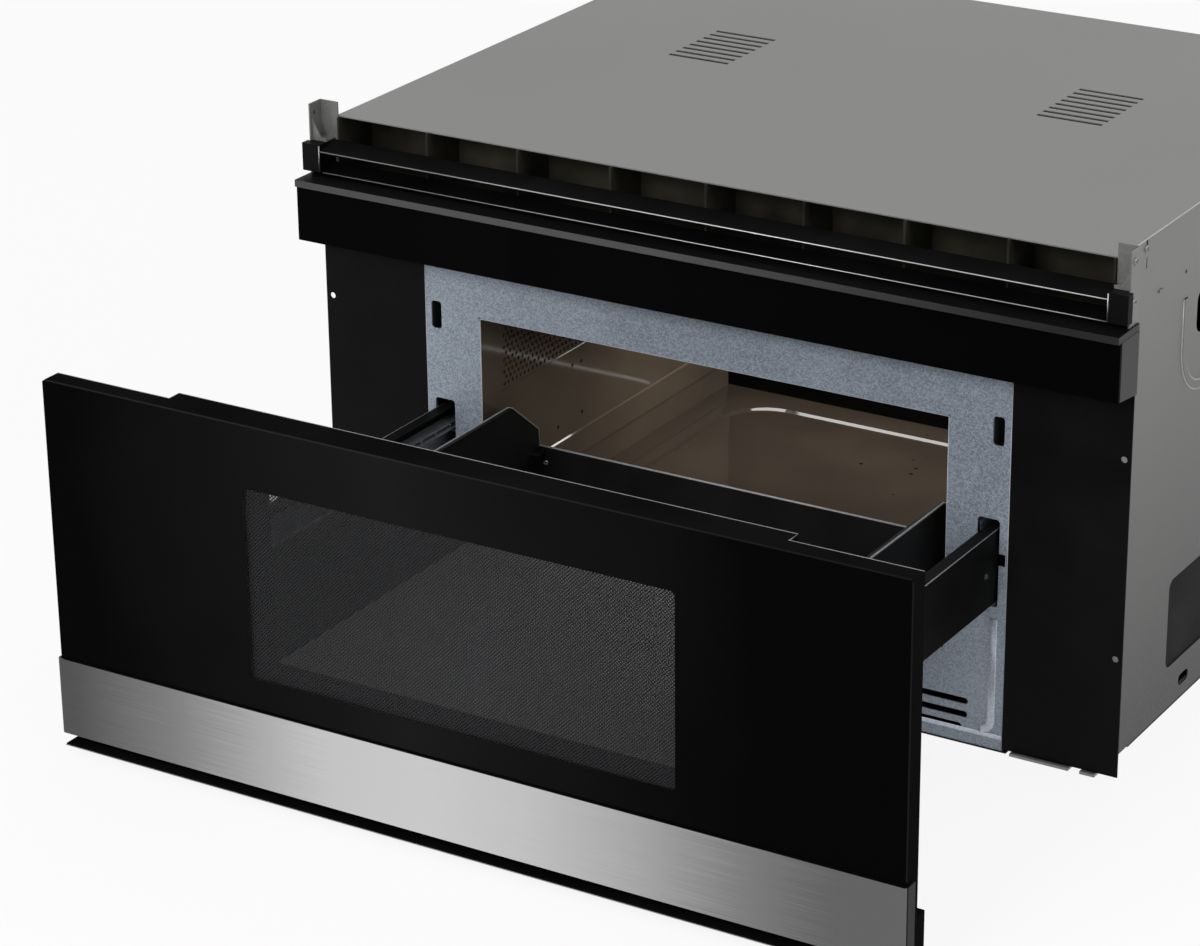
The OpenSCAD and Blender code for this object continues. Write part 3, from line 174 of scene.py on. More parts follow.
# %% Floor and sky
WHITE = "#ffffff"
FLOOR_HALF = 6.0
FLOOR_DROP = -0.0005
PAPER_TONE, PAPER_ROUGHNESS = "#f4f4f4", 0.9
PAPER_GLOW = 0.88
SKY_TONE, SKY_STRENGTH = "#f2f3f6", 0.7


def seen_as_background(tree):
    """1 on rays that come from the camera, from a mirror or through glass, else 0."""
    path = add(tree, "ShaderNodeLightPath")
    seen = path.outputs["Is Camera Ray"]
    for ray in ("Is Glossy Ray", "Is Transmission Ray"):
        seen = add(tree, "ShaderNodeMath", {0: seen, 1: path.outputs[ray]}, operation="MAXIMUM")
    return seen


def studio_floor():
    """A square sheet at a constant height, flat in both parameters."""
    u, v = np.meshgrid(np.linspace(-1, 1, 5), np.linspace(-1, 1, 5), indexing="ij")
    points = np.stack([u * FLOOR_HALF, v * FLOOR_HALF, np.full_like(u, FLOOR_DROP)], axis=-1)
    floor = quad_mesh("studio_floor", points, smooth=False)
    material, tree, shader, _ = start_material("white_paper")
    wire(tree, shader, {"Base Color": linear(PAPER_TONE), "Roughness": PAPER_ROUGHNESS})
    glow = add(tree, "ShaderNodeEmission", {"Color": linear(WHITE), "Strength": 1.0})
    share = add(
        tree, "ShaderNodeMath", {0: seen_as_background(tree), 1: PAPER_GLOW}, operation="MULTIPLY"
    )
    mix = add(tree, "ShaderNodeMixShader", {0: share, 1: shader, 2: glow})
    wire(tree, tree.nodes["Material Output"], {"Surface": mix})
    floor.data.materials.append(material)


def studio_sky():
    """White where the background is seen, and a plain soft grey light on everything else."""
    world = bpy.data.worlds.new("studio_sky")
    bpy.context.scene.world = world
    world.use_nodes = True
    tree = world.node_tree
    sky = add(tree, "ShaderNodeBackground", {"Color": linear(SKY_TONE), "Strength": SKY_STRENGTH})
    white = add(tree, "ShaderNodeBackground", {"Color": linear(WHITE), "Strength": 1.0})
    mix = add(tree, "ShaderNodeMixShader", {0: seen_as_background(tree), 1: sky, 2: white})
    wire(tree, tree.nodes["World Output"], {"Surface": mix})


studio_floor()
studio_sky()
bpy.context.scene.view_settings.view_transform = "Standard"
print("sky strength", SKY_STRENGTH)


# %% Lamps
def soft_lamp(name, place, target, size, watts):
    """A rectangular area lamp at place that faces target."""
    data = bpy.data.lights.new(name, "AREA")
    data.shape = "RECTANGLE"
    data.size, data.size_y = size
    data.energy = watts
    lamp = bpy.data.objects.new(name, data)
    lamp.location = place
    lamp.rotation_euler = (Vector(target) - Vector(place)).to_track_quat("-Z", "Y").to_euler()
    lamp.visible_camera = False
    bpy.context.scene.collection.objects.link(lamp)


# Place, target, size and watts of each lamp
LAMPS = {
    "key_lamp": ((-0.3, -2.8, 1.9), (0, 0.2, 0.1), (1.4, 0.8), 36),
    "side_lamp": ((1.35, -0.3, 1.3), (0.36, 0.1, 0.35), (0.5, 0.5), 3.6),
    "cavity_strip": ((0, 0.33, 0.2785), (0, 0.33, 0.08), (0.43, 0.10), 0.75),
}
for lamp_name, setting in LAMPS.items():
    soft_lamp(lamp_name, *setting)
print(len(bpy.data.lights), "lamps")

# %% [markdown]
# ## Sheet metal finishes
#
# Most of the case is steel sheet with a thin coat of zinc or aluminium. Under a
# lens such sheet is not one grey: the coat froze in small crystals, called
# spangle, and rolling left slow waves. A Voronoi pattern of crystal size gives
# the spangle its patches of tone and sheen, and a low noise makes the waves.
# Both read Object coordinates, in metres, so their scale is set from real
# millimetres. The case sheet also carries painted shade, darker towards the floor.


# %% Zinc-coated steel
SHADE_TOP_MM = 400
GRAIN_MM = 0.8


def zinc_sheet(name, dark, bright, spangle_mm, metal, rough, wave_mm=160, floor_shade_share=1.0):
    """Coated steel: crystals a millimetre or more wide, each a little lighter or darker. The last
    argument is the share of its tone left at the floor: painted shade, darker downward."""
    material, tree, shader, spot = start_material(name)
    crystal = add(tree, "ShaderNodeTexVoronoi", {"Vector": spot, "Scale": 1 / (spangle_mm * MM)})
    tone = add(tree, "ShaderNodeSeparateColor", {0: crystal.outputs["Color"]})
    wave = add(
        tree, "ShaderNodeTexNoise",
        {"Vector": spot, "Scale": 1 / (wave_mm * MM), "Detail": 3.0},
    )
    half = add(tree, "ShaderNodeMath", {0: tone, 1: 0.5}, operation="MULTIPLY")
    both = add(tree, "ShaderNodeMath", {0: wave, 1: 0.5, 2: half}, operation="MULTIPLY_ADD")
    colour = add(tree, "ShaderNodeValToRGB", {"Fac": both}, stops=[(0.2, dark), (0.8, bright)])
    # Painted shade: the tone is scaled down from the top height towards the floor
    place = add(tree, "ShaderNodeSeparateXYZ", {0: spot})
    painted_floor_shade = add(
        tree, "ShaderNodeMapRange",
        {"Value": place.outputs["Z"], "From Max": SHADE_TOP_MM * MM, "To Min": floor_shade_share},
    )
    colour = add(tree, "ShaderNodeVectorMath", {0: colour, "Scale": painted_floor_shade}, operation="SCALE")
    sheen = add(
        tree, "ShaderNodeMapRange", {"Value": tone, "To Min": rough[0], "To Max": rough[1]}
    )
    grain = add(
        tree, "ShaderNodeTexNoise",
        {"Vector": spot, "Scale": 1 / (GRAIN_MM * MM), "Detail": 2.0},
    )
    relief = add(
        tree, "ShaderNodeBump", {"Height": grain, "Distance": 0.01 * MM, "Strength": 0.4}
    )
    wire(tree, shader, {"Base Color": colour, "Roughness": sheen, "Normal": relief})
    wire(tree, shader, {"Metallic": metal})
    return material


# Hot-dip galvanised sheet: bluish, with a spangle so fine that it reads as a speckle
galvanised = zinc_sheet("galvanised_steel", "#757e8a", "#b0bac6", 1.1, 0.2, (0.4, 0.6))
# Aluminised sheet is greyer and almost even, with a dull satin sheen; painted shade darkens it
# towards the floor
case_steel = zinc_sheet(
    "aluminised_steel", "#727271", "#82827f", 1.2, 0.4, (0.4, 0.52), wave_mm=400, floor_shade_share=0.18
)
# Electroplated zinc is the lightest and evenest of the three, almost like paint
light_steel = zinc_sheet("electro_zinc_steel", "#838485", "#9a9b9c", 1.0, 0.4, (0.4, 0.55))
# Rolled slide steel under grease has long wet highlights
slide_zinc = zinc_sheet("greased_zinc", "#84878b", "#9c9fa3", 3.0, 0.6, (0.35, 0.45))
# Passivated zinc has a straw tint, which marks the yoke plates of the microwave source
magnetron_gold = zinc_sheet("passivated_zinc", "#b39d55", "#cdb974", 3.0, 0.8, (0.3, 0.5))
# Turned and plated screw heads are nearly plain bright metal
screw_zinc = zinc_sheet("screw_zinc", "#6c6c6d", "#929293", 0.8, 0.9, (0.25, 0.4))
# Paler aluminised sheet on the bends of the hand-hole ribs: a painted highlight line
rib_highlight_steel = zinc_sheet(
    "aluminised_steel_painted_highlight", "#8f8f8e", "#a2a2a1", 2.5, 0.6, (0.3, 0.4)
)
# Paler, smoother galvanised sheet on the front plate's ribs and crease: a painted highlight
plate_highlight_zinc = zinc_sheet(
    "galvanised_steel_painted_highlight", "#a9b1bf", "#d0d7e2", 1.2, 0.4, (0.35, 0.5)
)
paint(galvanised, "front_plate", "rail_carrier_left", "rail_carrier_right")
paint(case_steel, "side_panel_left", "side_panel_right", "top_panel", "rear_panel")
paint(case_steel, "stirrer_dome", "stirrer_antenna", "waveguide", "tie_strips")
paint(light_steel, "front_feet")
paint(
    slide_zinc, "fixed_slide_left", "fixed_slide_right", "mid_slide_left", "mid_slide_right",
    "drawer_slide_left", "drawer_slide_right", "cross_shaft",
)
paint(magnetron_gold, "magnetron")
print("zinc finishes:", len(bpy.data.materials))

# %% [markdown]
# ## Coats that cover the steel
#
# The flanges, the slide brackets and the tray are powder coated: the coat
# melts into a fine orange peel about 1 mm wide, with a satin sheen, and it
# drinks most of the light. The cavity has a fired enamel, which is glass: its
# face is smooth, so lamps and edges mirror in it, over a taupe ground.


# %% Powder coat and enamel
CLOUD_MM, PEEL_MM, DRIFT_MM, SMEAR_MM = 60, 1.1, 90, 25


def powder_coat(name, dark, light, rough, gloss=0.12):
    """A satin coat with orange peel, and cloudy changes of tone a few centimetres wide."""
    material, tree, shader, spot = start_material(name)
    cloud = add(
        tree, "ShaderNodeTexNoise",
        {"Vector": spot, "Scale": 1 / (CLOUD_MM * MM), "Detail": 5.0},
    )
    colour = add(tree, "ShaderNodeValToRGB", {"Fac": cloud}, stops=[(0.35, dark), (0.7, light)])
    sheen = add(
        tree, "ShaderNodeMapRange",
        {"Value": cloud, "From Min": 0.3, "From Max": 0.7, "To Min": rough[0], "To Max": rough[1]},
    )
    peel = add(
        tree, "ShaderNodeTexNoise",
        {"Vector": spot, "Scale": 1 / (PEEL_MM * MM), "Detail": 2.0},
    )
    relief = add(tree, "ShaderNodeBump", {"Height": peel, "Distance": 0.02 * MM, "Strength": 0.5})
    wire(tree, shader, {"Base Color": colour, "Roughness": sheen, "Normal": relief})
    wire(tree, shader, {"Specular IOR Level": gloss})
    return material


def fired_enamel(name, dark, light, rough, coat):
    """Enamel: a ground colour that drifts slowly, under a clear glassy coat with soft waves."""
    material, tree, shader, spot = start_material(name)
    drift = add(
        tree, "ShaderNodeTexNoise",
        {"Vector": spot, "Scale": 1 / (DRIFT_MM * MM), "Detail": 3.0},
    )
    colour = add(tree, "ShaderNodeValToRGB", {"Fac": drift}, stops=[(0.3, dark), (0.75, light)])
    smear = add(
        tree, "ShaderNodeTexNoise",
        {"Vector": spot, "Scale": 1 / (SMEAR_MM * MM), "Detail": 2.0},
    )
    sheen = add(
        tree, "ShaderNodeMapRange", {"Value": smear, "To Min": rough[0], "To Max": rough[1]}
    )
    relief = add(
        tree, "ShaderNodeBump", {"Height": smear, "Distance": 0.04 * MM, "Strength": 0.25}
    )
    wire(tree, shader, {"Base Color": colour, "Roughness": sheen, "Normal": relief})
    wire(tree, shader, {"Coat Weight": coat, "Coat Roughness": 0.06})
    return material


# Black powder coat on the flanges: matt, and even to the eye
flange_black = powder_coat("black_powder_coat", "#0a0a0a", "#111111", (0.5, 0.6), gloss=0.06)
# A smoother black coat on the tray, so its long walls show a soft sheen
tray_black = powder_coat("tray_black_coat", "#121212", "#1a1a1a", (0.38, 0.5))
# Hot-rolled sheet with a thin dark coat: the pan below reads as charcoal, not black
pan_dark = powder_coat("dark_coated_steel", "#202020", "#2a2a2a", (0.5, 0.65))
# Black coated aluminium on the louvre: only its rubbed noses catch light
blade_black = powder_coat("black_coated_aluminium", "#0b0b0b", "#121212", (0.5, 0.6), gloss=0.02)
# Heat-proof olive coat in the duct, a warm dark ground behind the louvre
duct_olive = powder_coat("olive_coated_steel", "#201f1a", "#3c3a31", (0.5, 0.65), gloss=0.02)
# Dark grey coated mesh sheet behind the side vents
vent_grey = powder_coat("grey_coated_steel", "#101011", "#161617", (0.5, 0.65), gloss=0.05)
# Stoved hammer grey on the motor cans, the glossiest of the coats
motor_grey = powder_coat("motor_grey_coat", "#464b51", "#555a60", (0.4, 0.55), gloss=0.4)
# Taupe enamel fired on the cavity floor: a warm ground under a wet gloss
cavity_brown = fired_enamel("taupe_enamel", "#403830", "#4c4238", (0.05, 0.1), 1.0)
# The walls and the roof get a paler copy of it: painted light, since they catch less light than
# the floor
wall_enamel_painted_light = fired_enamel("taupe_enamel_painted_light", "#62564a", "#716455", (0.05, 0.1), 1.0)
# Matt near-black on the back sheet, so the cavity ends in darkness
cavity_black = powder_coat("matt_black_back_sheet", "#090807", "#0e0d0c", (0.5, 0.6), gloss=0.03)
paint(flange_black, "cabinet_flanges", "rail_bracket_left", "rail_bracket_right")
paint(tray_black, "tray_shell")
paint(pan_dark, "base_pan")
paint(blade_black, "louvre_blades")
paint(duct_olive, "louvre_duct")
paint(vent_grey, "side_vent_screens")
paint(motor_grey, "drawer_motor", "stirrer_motor", "fan_motor")
paint(wall_enamel_painted_light, "cavity_left_wall", "cavity_right_wall", "cavity_ceiling")
paint(cavity_black, "cavity_back")
print("with the coats:", len(bpy.data.materials))

# %% [markdown]
# ## Brushed metal
#
# The handle trim is drawn under an abrasive belt along its length. The belt's
# hair lines run from side to side, so its sheen is stretched across them. Noise
# squeezed to a hair in height and pulled long in width makes the lines. A
# painted reflection runs along the length too: the tone is dark at both ends
# and bright in the middle.


# %% Brushed metals
FRONT_HALF_MM = 380
LINE_STRETCH = 0.004
SHADE_CAP_TONE = "#0a0a0a"


def brushed_with_painted_reflection(name, stops, line_mm, rough, metal=1.0):
    """Metal with belt lines along X, line_mm apart, and a painted reflection whose tone runs along
    X.
    """
    material, tree, shader, spot = start_material(name)
    stretch = add(tree, "ShaderNodeMapping", {"Vector": spot, "Scale": (LINE_STRETCH, 1, 1)})
    lines = add(
        tree, "ShaderNodeTexNoise",
        {"Vector": stretch, "Scale": 1 / (line_mm * MM), "Detail": 3.0},
    )
    # Painted reflection: the place along X picks the tone from the ramp
    across = add(tree, "ShaderNodeSeparateXYZ", {0: spot})
    half = FRONT_HALF_MM * MM
    drift = add(
        tree, "ShaderNodeMapRange", {"Value": across, "From Min": -half, "From Max": half}
    )
    tone = add(tree, "ShaderNodeMath", {0: lines, 1: 0.16, 2: drift}, operation="MULTIPLY_ADD")
    colour = add(tree, "ShaderNodeValToRGB", {"Fac": tone}, stops=stops)
    sheen = add(
        tree, "ShaderNodeMapRange", {"Value": lines, "To Min": rough[0], "To Max": rough[1]}
    )
    relief = add(
        tree, "ShaderNodeBump", {"Height": lines, "Distance": 0.006 * MM, "Strength": 0.5}
    )
    wire(tree, shader, {"Base Color": colour, "Roughness": sheen, "Normal": relief})
    wire(tree, shader, {"Metallic": metal, "Anisotropic": 0.6})
    return material


def cap_black(material, axis, start_mm):
    """Paints a metal satin near-black wherever |axis| is past start_mm: painted shade."""
    tree = material.node_tree
    shader = tree.nodes["Principled BSDF"]
    spot = add(tree, "ShaderNodeTexCoord").outputs["Object"]
    place = add(tree, "ShaderNodeSeparateXYZ", {0: spot})
    reach = add(tree, "ShaderNodeMath", {0: place.outputs[axis]}, operation="ABSOLUTE")
    bare = add(tree, "ShaderNodeMath", {0: reach, 1: start_mm * MM}, operation="LESS_THAN")
    colour = shader.inputs["Base Color"].links[0].from_socket
    shown = add(tree, "ShaderNodeVectorMath", {0: colour, "Scale": bare}, operation="SCALE")
    least = linear(SHADE_CAP_TONE)[:3]
    shaded_colour = add(tree, "ShaderNodeVectorMath", {0: shown, 1: least}, operation="MAXIMUM")
    metal = shader.inputs["Metallic"].default_value
    shine = add(tree, "ShaderNodeMath", {0: bare, 1: metal}, operation="MULTIPLY")
    wire(tree, shader, {"Base Color": shaded_colour, "Metallic": shine, "Specular IOR Level": 0.1})


# Stainless steel is a neutral grey; its tone along the length is a painted reflection, dark at the
# ends and bright in the middle
stainless = brushed_with_painted_reflection(
    "brushed_stainless_painted_reflection",
    [
        (0.1, "#545455"), (0.24, "#868687"), (0.42, "#c9c9ca"), (0.54, "#cfcfd0"),
        (0.66, "#c6c6c7"), (0.78, "#adadae"), (0.9, "#828283"), (1.0, "#666667"),
    ],
    0.35, (0.28, 0.42),
)
# Anodised aluminium with a satin brush is duller and greyer than steel, with the same painted
# reflection along its length
cap_metal = brushed_with_painted_reflection(
    "satin_aluminium_painted_reflection",
    [(0.0, "#4c4c4d"), (0.55, "#767677"), (1.0, "#404041")],
    0.5, (0.4, 0.55), metal=0.8,
)
# Pale aluminium draws the white lines along the louvre as a painted highlight, under a painted
# reflection along X
louvre_highlight_metal = brushed_with_painted_reflection(
    "aluminium_painted_highlight",
    [(0.0, "#8b8b8c"), (0.5, "#c4c4c5"), (1.0, "#a9a9aa")],
    0.5, (0.25, 0.4), metal=0.9,
)
# The trim's two ends and the top of the cap trim are painted near-black, as painted shade
TRIM_END_X, CAP_TOP_Z = 380.9, 388.9
cap_black(stainless, "X", TRIM_END_X)
cap_black(cap_metal, "Z", CAP_TOP_Z)
paint(stainless, "handle_trim")
paint(cap_metal, "cap_trim")
print("with the brushed metals:", len(bpy.data.materials))

# %% [markdown]
# ## Moulded plastic and printed glass
#
# The drawer frame and the housing behind the controls are moulded ABS with a
# fine spark-eroded grain. The black glass is clear glass printed on its back.
# The print lies under a hard face, so the face stays mirror smooth, but it is
# so deep a black that only bright edges show in it. Its tone is paler in the
# middle of its width: a painted reflection.


# %% Plastics and glass
MOULD_DRIFT_MM, MOULD_GRAIN_MM, PRINT_DRIFT_MM = 120, 0.7, 200


def moulded(name, dark, light, rough, gloss=0.3):
    """Moulded plastic: spark-eroded grain, and a tone that drifts over the whole piece."""
    material, tree, shader, spot = start_material(name)
    drift = add(
        tree, "ShaderNodeTexNoise",
        {"Vector": spot, "Scale": 1 / (MOULD_DRIFT_MM * MM), "Detail": 2.0},
    )
    colour = add(tree, "ShaderNodeValToRGB", {"Fac": drift}, stops=[(0.3, dark), (0.7, light)])
    sheen = add(
        tree, "ShaderNodeMapRange", {"Value": drift, "To Min": rough[0], "To Max": rough[1]}
    )
    grain = add(
        tree, "ShaderNodeTexNoise",
        {"Vector": spot, "Scale": 1 / (MOULD_GRAIN_MM * MM), "Detail": 2.0},
    )
    relief = add(
        tree, "ShaderNodeBump", {"Height": grain, "Distance": 0.02 * MM, "Strength": 0.4}
    )
    wire(tree, shader, {"Base Color": colour, "Roughness": sheen, "Normal": relief})
    wire(tree, shader, {"IOR": 1.53, "Specular IOR Level": gloss})
    return material


def printed_glass_with_painted_reflection(name, dark, light, gloss, cover=1.0):
    """Black print on glass, with a painted reflection that pales it in the middle; cover is how
    much the print hides.
    """
    material, tree, shader, spot = start_material(name)
    drift = add(
        tree, "ShaderNodeTexNoise",
        {"Vector": spot, "Scale": 1 / (PRINT_DRIFT_MM * MM), "Detail": 2.0},
    )
    # Painted reflection: the place along X makes the tone paler in the middle
    across = add(tree, "ShaderNodeSeparateXYZ", {0: spot})
    half = FRONT_HALF_MM * MM
    run = add(
        tree, "ShaderNodeMapRange", {"Value": across, "From Min": -half, "From Max": half}
    )
    tone = add(tree, "ShaderNodeMath", {0: drift, 1: 0.25, 2: run}, operation="MULTIPLY_ADD")
    stops = [(0.2, dark), (0.55, light), (0.95, dark)]
    colour = add(tree, "ShaderNodeValToRGB", {"Fac": tone}, stops=stops)
    sheen = add(tree, "ShaderNodeMapRange", {"Value": drift, "To Min": 0.05, "To Max": 0.12})
    wire(tree, shader, {"Base Color": colour, "Roughness": sheen})
    wire(tree, shader, {"IOR": 1.5, "Specular IOR Level": gloss, "Alpha": cover})
    return material


# Black ABS with a spark-eroded grain: the frame shows no glints at all
frame_plastic = moulded("moulded_abs_black", "#0f0f0f", "#151515", (0.45, 0.55), gloss=0.0)
# The same ABS in grey behind the controls, a shade lighter than the frame
housing_plastic = moulded("moulded_abs_grey", "#2b2b2c", "#343435", (0.42, 0.55), gloss=0.2)
# Glass-filled nylon of the working parts: charcoal, with a dry, rough face
dark_plastic = moulded("glass_filled_nylon", "#262626", "#303030", (0.45, 0.6))
# Charcoal ABS end blocks of the louvre, as dark as the glass but matt
louvre_plastic = moulded("moulded_abs_charcoal", "#0a0a0b", "#101011", (0.45, 0.6), gloss=0.05)
# Natural nylon of the gears: creamy white, and a little waxy
natural_nylon = moulded("natural_nylon", "#d2ccba", "#e2dccb", (0.35, 0.5))
# Red acetal marks the interlock plungers, with a smooth moulded shine
plunger_red = moulded("red_acetal", "#b92f29", "#c93b32", (0.3, 0.4))
# Glass printed black on its back: a deep black, with a painted reflection paler in the middle
black_glass = printed_glass_with_painted_reflection("black_printed_glass_painted_reflection", "#050505", "#1a1a1a", 0.008)
# The control panel's print is evener, and its painted reflection in the middle is fainter
panel_glass = printed_glass_with_painted_reflection("panel_printed_glass_painted_reflection", "#070707", "#0c0c0c", 0.008)
# Glass with a fine dot print over the window: it dims the view and tints it grey, with a painted
# reflection paler in the middle
window_glass = printed_glass_with_painted_reflection("dot_printed_glass_painted_reflection", "#242425", "#303031", 0.05, cover=0.2)
paint(frame_plastic, "door_frame")
paint(housing_plastic, "control_housing")
paint(
    dark_plastic, "interlock_housings", "fan_housing", "fan_rotor", "shaft_bearings",
    "latch_hooks",
)
paint(louvre_plastic, "louvre_ends")
paint(natural_nylon, "idler_gear_left", "idler_gear_right")
paint(plunger_red, "interlock_plunger_left", "interlock_plunger_right")
paint(panel_glass, "control_glass")
paint(window_glass, "inner_window")
print("with plastics and glass:", len(bpy.data.materials))

# %% [markdown]
# ## Flecked materials
#
# Pressed mica shows its flakes, the ceramic of the tray plate its grog, and a
# populated board its solder and parts. One finish with a fleck of real size
# serves all of them.


# %% Flecked finishes
def flecked(name, ground, fleck, fleck_mm, rough):
    """A ground colour broken by flecks, which stand a hair proud of it."""
    material, tree, shader, spot = start_material(name)
    cloud = add(
        tree, "ShaderNodeTexNoise",
        {"Vector": spot, "Scale": 1 / (fleck_mm * MM), "Detail": 6.0, "Roughness": 0.7},
    )
    colour = add(tree, "ShaderNodeValToRGB", {"Fac": cloud}, stops=[(0.52, ground), (0.68, fleck)])
    relief = add(tree, "ShaderNodeBump", {"Height": cloud, "Distance": 0.02 * MM, "Strength": 0.3})
    wire(tree, shader, {"Base Color": colour, "Roughness": rough, "Normal": relief})
    return material


# Green solder mask broken by solder and small parts
circuit_green = flecked("solder_mask_green", "#1d5a36", "#7f8c74", 5.0, 0.4)
# Pressed mica is pale straw with glinting flakes
mica = flecked("pressed_mica", "#d6cfba", "#efe9d8", 3.0, 0.55)
# Glazed ceramic of the lamp holder, near white
lamp_ceramic = flecked("lamp_ceramic", "#e4ddc9", "#f0ead9", 4.0, 0.4)
# Glazed stoneware plate in the tray, grey with a fine grog
plate_ceramic = flecked("glazed_stoneware", "#b0b0b0", "#c2c2c2", 2.0, 0.25)
paint(circuit_green, "control_board", "inverter")
paint(mica, "stirrer_cover")
paint(lamp_ceramic, "cavity_lamp")
paint(plate_ceramic, "tray_plate")
print("with the flecked ones:", len(bpy.data.materials))

# %% [markdown]
# ## Sheets with round corners
#
# The glass of the drawer, its screen and the cavity floor are all flat shapes
# with round corners. Each is drawn as a stack of outlines. Every outline has
# the same number of points, so the points of one outline join those of the
# next, and a change of size or height from ring to ring makes a chamfer, a
# step or a wall. The last ring may shrink to a point, which closes the sheet.


# %% Rounded outlines
CORNER_POINTS = 8


def rounded_outline(low, high, radius):
    """Points round a rectangle, counterclockwise from its right side: each corner is an arc
    centre + radius * (cos a, sin a), and the straight sides lie between the arcs."""
    corner = np.repeat(np.arange(4), CORNER_POINTS)
    angle = (corner + np.tile(np.linspace(0, 1, CORNER_POINTS), 4)) * math.pi / 2
    centre_a = np.where(np.isin(corner, (0, 3)), high[0] - radius, low[0] + radius)
    centre_b = np.where(corner < 2, high[1] - radius, low[1] + radius)
    return np.stack(
        [centre_a + radius * np.cos(angle), centre_b + radius * np.sin(angle)], axis=-1
    )


def ring_stack(name, rings, upright, close=False, smooth=False):
    """One closed sheet through rings of (low, high, radius, height), all in millimetres: the
    outlines lie in X and Z at the depth given when upright, else in X and Y at the height."""
    outlines = [rounded_outline(low, high, radius) for low, high, radius, _ in rings]
    flat = np.stack(outlines, axis=1)
    third = np.broadcast_to(np.array([ring[3] for ring in rings], float), flat.shape[:2])
    order = (flat[..., 0], third, flat[..., 1]) if upright else (flat[..., 0], flat[..., 1], third)
    points = np.stack(order, axis=-1) * MM
    return quad_mesh(name, points, close_u=True, close_v=close, smooth=smooth, weld=True)


def grown(low, high, by):
    """The corners of a rectangle with every side moved out by the same amount."""
    return (low[0] - by, low[1] - by), (high[0] + by, high[1] + by)


print("points in an outline:", len(rounded_outline((0, 0), (1, 1), 0.1)))

# %% [markdown]
# ## The glass of the drawer
#
# The sheet is 3 mm glass. Its back is printed solid black all round, and left
# open over the window, where only a fine dot print dims the view. It is drawn
# as two sheets that fit each other: the printed ring, whose outer edges have
# the narrow chamfer of real glass, and the window. The print runs over the
# chamfer, so the edge shows as a dark seam against the frame.

# %% Drawer glass
GLASS_LOW, GLASS_HIGH, GLASS_R = (-379, 85.7), (379, 322), 1.5
WINDOW_LOW, WINDOW_HIGH, WINDOW_R = (-190, 111), (190, 271), 4
GLASS_FRONT, GLASS_BACK, CHAMFER = -375.4, -372.4, 0.15

inner_low, inner_high = grown(GLASS_LOW, GLASS_HIGH, -CHAMFER)
glass_ring = ring_stack(
    "door_glass_ring",
    [
        (inner_low, inner_high, GLASS_R - CHAMFER, GLASS_FRONT),
        (WINDOW_LOW, WINDOW_HIGH, WINDOW_R, GLASS_FRONT),
        (WINDOW_LOW, WINDOW_HIGH, WINDOW_R, GLASS_BACK),
        (inner_low, inner_high, GLASS_R - CHAMFER, GLASS_BACK),
        (GLASS_LOW, GLASS_HIGH, GLASS_R, GLASS_BACK - CHAMFER),
        (GLASS_LOW, GLASS_HIGH, GLASS_R, GLASS_FRONT + CHAMFER),
    ],
    upright=True,
    close=True,
)
glass_ring.data.materials.append(black_glass)


def rounded_plate(name, low, high, radius, front, back):
    """A closed upright plate: back face, edge and front face, each drawn from ring to ring."""
    centre = ((low[0] + high[0]) / 2, (low[1] + high[1]) / 2)
    rings = [(centre, centre, 0, back), (low, high, radius, back)]
    rings += [(low, high, radius, front), (centre, centre, 0, front)]
    return ring_stack(name, rings, upright=True)


PANE_GAP = 0.05
pane_low, pane_high = grown(WINDOW_LOW, WINDOW_HIGH, -PANE_GAP)
pane = rounded_plate(
    "door_window_pane", pane_low, pane_high, WINDOW_R, GLASS_FRONT, GLASS_BACK
)
pane.data.materials.append(window_glass)
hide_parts("door_glass")
for piece, slot in ((glass_ring, "black_glass"), (pane, "clear_glass")):
    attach(piece, "drawer")
print("glass ring faces:", len(glass_ring.data.polygons), "pane faces:", len(pane.data.polygons))

# %% [markdown]
# ## The screen behind the window
#
# A black steel sheet with thousands of small holes keeps the microwaves in and
# lets the eye through. The real holes are about 1.3 mm wide, too fine for the
# picture, so they are drawn about 1.5 mm wide and 3 mm apart in each row. The
# product of two cosines is a lattice of round hills set cornerwise: where it is
# high there is a hole, and the sheet is clear.

# %% Perforated screen
SCREEN_MARGIN, SCREEN_FRONT, SCREEN_BACK = 12, -372.3, -371.6
HOLE_PITCH_MM, HOLE_EDGE = 3.0, (-0.15, 0.25)


def perforated(name, dark, light):
    """Coated sheet steel whose alpha falls to nothing in every hole of the lattice."""
    material, tree, shader, spot = start_material(name)
    along = add(tree, "ShaderNodeSeparateXYZ", {0: spot})
    turns = math.tau / (HOLE_PITCH_MM * MM)
    waves = []
    for axis in ("X", "Z"):
        place = along.outputs[axis]
        angle = add(tree, "ShaderNodeMath", {0: place, 1: turns}, operation="MULTIPLY")
        waves.append(add(tree, "ShaderNodeMath", {0: angle}, operation="COSINE"))
    hills = add(tree, "ShaderNodeMath", {0: waves[0], 1: waves[1]}, operation="MULTIPLY")
    solid, clear = HOLE_EDGE
    metal = add(
        tree, "ShaderNodeMapRange",
        {"Value": hills, "From Min": solid, "From Max": clear, "To Min": 1.0, "To Max": 0.0},
    )
    colour = add(tree, "ShaderNodeValToRGB", {"Fac": hills}, stops=[(0.0, dark), (0.3, light)])
    wire(tree, shader, {"Base Color": colour, "Roughness": 0.45, "Alpha": metal})
    wire(tree, shader, {"Specular IOR Level": 0.3})
    return material


screen_low, screen_high = grown(WINDOW_LOW, WINDOW_HIGH, SCREEN_MARGIN)
screen = rounded_plate("door_screen", screen_low, screen_high, WINDOW_R, SCREEN_FRONT, SCREEN_BACK)
screen.data.materials.append(perforated("perforated_steel", "#28282a", "#38383a"))
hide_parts("window_screen")
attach(screen, "drawer")
print("screen faces:", len(screen.data.polygons))

